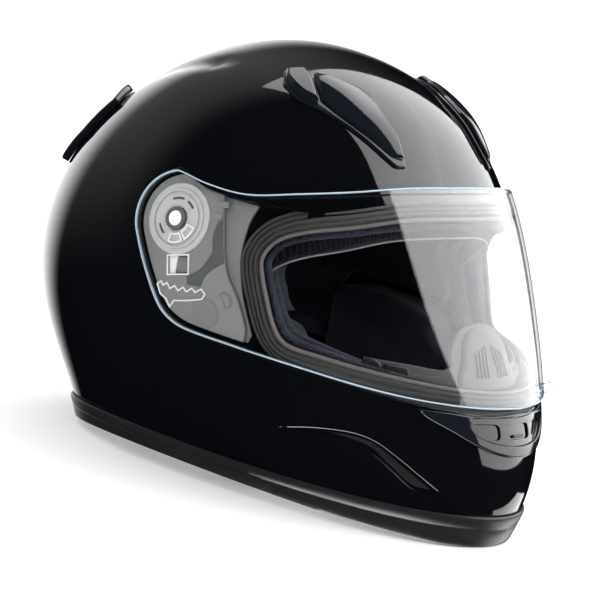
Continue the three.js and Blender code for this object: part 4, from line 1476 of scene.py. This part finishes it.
def softbox(name, place, aim, width, height, radiance, glossy=True):
    """A rectangular lamp whose face has the stated radiance."""
    data = bpy.data.lights.new(name, "AREA")
    data.shape = "RECTANGLE"
    data.size, data.size_y = width, height
    data.energy = radiance * math.pi * width * height
    obj = bpy.data.objects.new(name, data)
    bpy.context.scene.collection.objects.link(obj)
    obj.location = place
    direction = Vector(aim) - Vector(place)
    obj.rotation_euler = direction.to_track_quat("-Z", "Y").to_euler()
    obj.visible_glossy = glossy
    return obj


def floor():
    size = 8.0
    data = bpy.data.meshes.new("floor")
    corners = [(-size, -size), (size, -size), (size, size), (-size, size)]
    data.from_pydata([(x, y, -0.0004) for x, y in corners], [], [(0, 1, 2, 3)])
    obj = bpy.data.objects.new("floor", data)
    bpy.context.scene.collection.objects.link(obj)
    m = Nodes("pale_floor", (0.86, 0.86, 0.86), 0.9, Emission_Color=(1, 1, 1, 1),
              Emission_Strength=0.3)
    grain = m.texture("ShaderNodeTexNoise", Scale=6.0)
    m.link(m.blend_color(grain.outputs["Fac"], (0.86, 0.86, 0.86), (0.88, 0.88, 0.88)),
           m.shader.inputs["Base Color"])
    data.materials.append(m.material)
    obj.visible_glossy = False


def panel(name, corners, radiance):
    """A glowing screen that the lacquer mirrors with a sharp edge."""
    data = bpy.data.meshes.new(name)
    data.from_pydata(corners, [], [(0, 1, 2, 3)])
    obj = bpy.data.objects.new(name, data)
    bpy.context.scene.collection.objects.link(obj)
    m = Nodes(name, (0.8, 0.8, 0.8), 1.0, Emission_Color=(1, 1, 1, 1))
    cloudy = m.texture("ShaderNodeTexNoise", Scale=0.6)
    m.link(m.ramp(cloudy.outputs["Fac"], 0.3, 0.7, radiance * 0.94, radiance * 1.06),
           m.shader.inputs["Emission Strength"])
    data.materials.append(m.material)
    obj.visible_camera = False


def smooth_step(tree, value, start, end):
    node = tree.nodes.new("ShaderNodeMapRange")
    node.interpolation_type = "SMOOTHSTEP"
    node.inputs["From Min"].default_value = start
    node.inputs["From Max"].default_value = end
    tree.links.new(value, node.inputs["Value"])
    return node.outputs["Result"]


def maths(tree, operation, *values):
    node = tree.nodes.new("ShaderNodeMath")
    node.operation = operation
    for socket, value in zip(node.inputs, values):
        if isinstance(value, (int, float)):
            socket.default_value = value
        else:
            tree.links.new(value, socket)
    return node.outputs[0]


def surroundings():
    """White all round for soft light; the lacquer mirrors only a soft glow behind the helmet."""
    world = bpy.data.worlds.new("studio")
    bpy.context.scene.world = world
    world.use_nodes = True
    tree = world.node_tree
    background = tree.nodes["Background"]
    background.inputs["Color"].default_value = (1, 1, 1, 1)
    split = tree.nodes.new("ShaderNodeSeparateXYZ")
    tree.links.new(tree.nodes.new("ShaderNodeTexCoord").outputs["Generated"], split.inputs[0])
    x, y, z = split.outputs
    behind = maths(tree, "ADD", maths(tree, "MULTIPLY", x, 0.5), maths(tree, "MULTIPLY", y, 0.866))
    glare = maths(tree, "MULTIPLY", smooth_step(tree, behind, 0.85, 1.0), 1.8)
    broad = maths(tree, "MULTIPLY", smooth_step(tree, behind, 0.2, 0.6),
                  smooth_step(tree, z, -0.35, 0.5))
    broad = maths(tree, "MULTIPLY", broad, smooth_step(tree, x, 0.9, 0.3))
    glow = maths(tree, "ADD", glare, maths(tree, "MULTIPLY", broad, 0.34))
    choose = tree.nodes.new("ShaderNodeMix")
    choose.inputs["A"].default_value = 1.0
    tree.links.new(tree.nodes.new("ShaderNodeLightPath").outputs["Is Glossy Ray"],
                   choose.inputs["Factor"])
    tree.links.new(glow, choose.inputs["B"])
    tree.links.new(choose.outputs["Result"], background.inputs["Strength"])


def studio():
    """The glow behind, three screens that meet edge to edge, one low card and a soft fill."""
    surroundings()
    near, far, front, low, high = 0.2, 2.4, -1.7, 0.05, 2.2
    back_low, back_high = 0.02, 1.05
    panel("front_screen", [(near, front, low), (far, front, low), (far, front, high),
                           (near, front, high)], 1.5)
    panel("left_screen", [(far, front, low), (far, back_low, low), (far, back_high, high),
                          (far, front, high)], 1.5)
    panel("top_screen", [(near, front, high), (far, front, high), (far, back_high, high),
                         (near, back_high, high)], 1.5)
    panel("low_screen", [(0.62, -1.2, -0.6), (far, -1.2, -0.6), (far, -0.1, -0.6),
                         (0.62, -0.1, -0.6)], 1.7)
    softbox("floor_glow", (-0.04, -0.1, -0.3), (-0.04, -0.1, 1), 0.3, 0.3, 9.0)
    softbox("side_fill", (-1.6, -0.6, 1.0), (0, 0, 0.15), 1.2, 1.2, 1.6, glossy=False)


bpy.context.scene.view_settings.view_transform = "Standard"
camera()
floor()
studio()
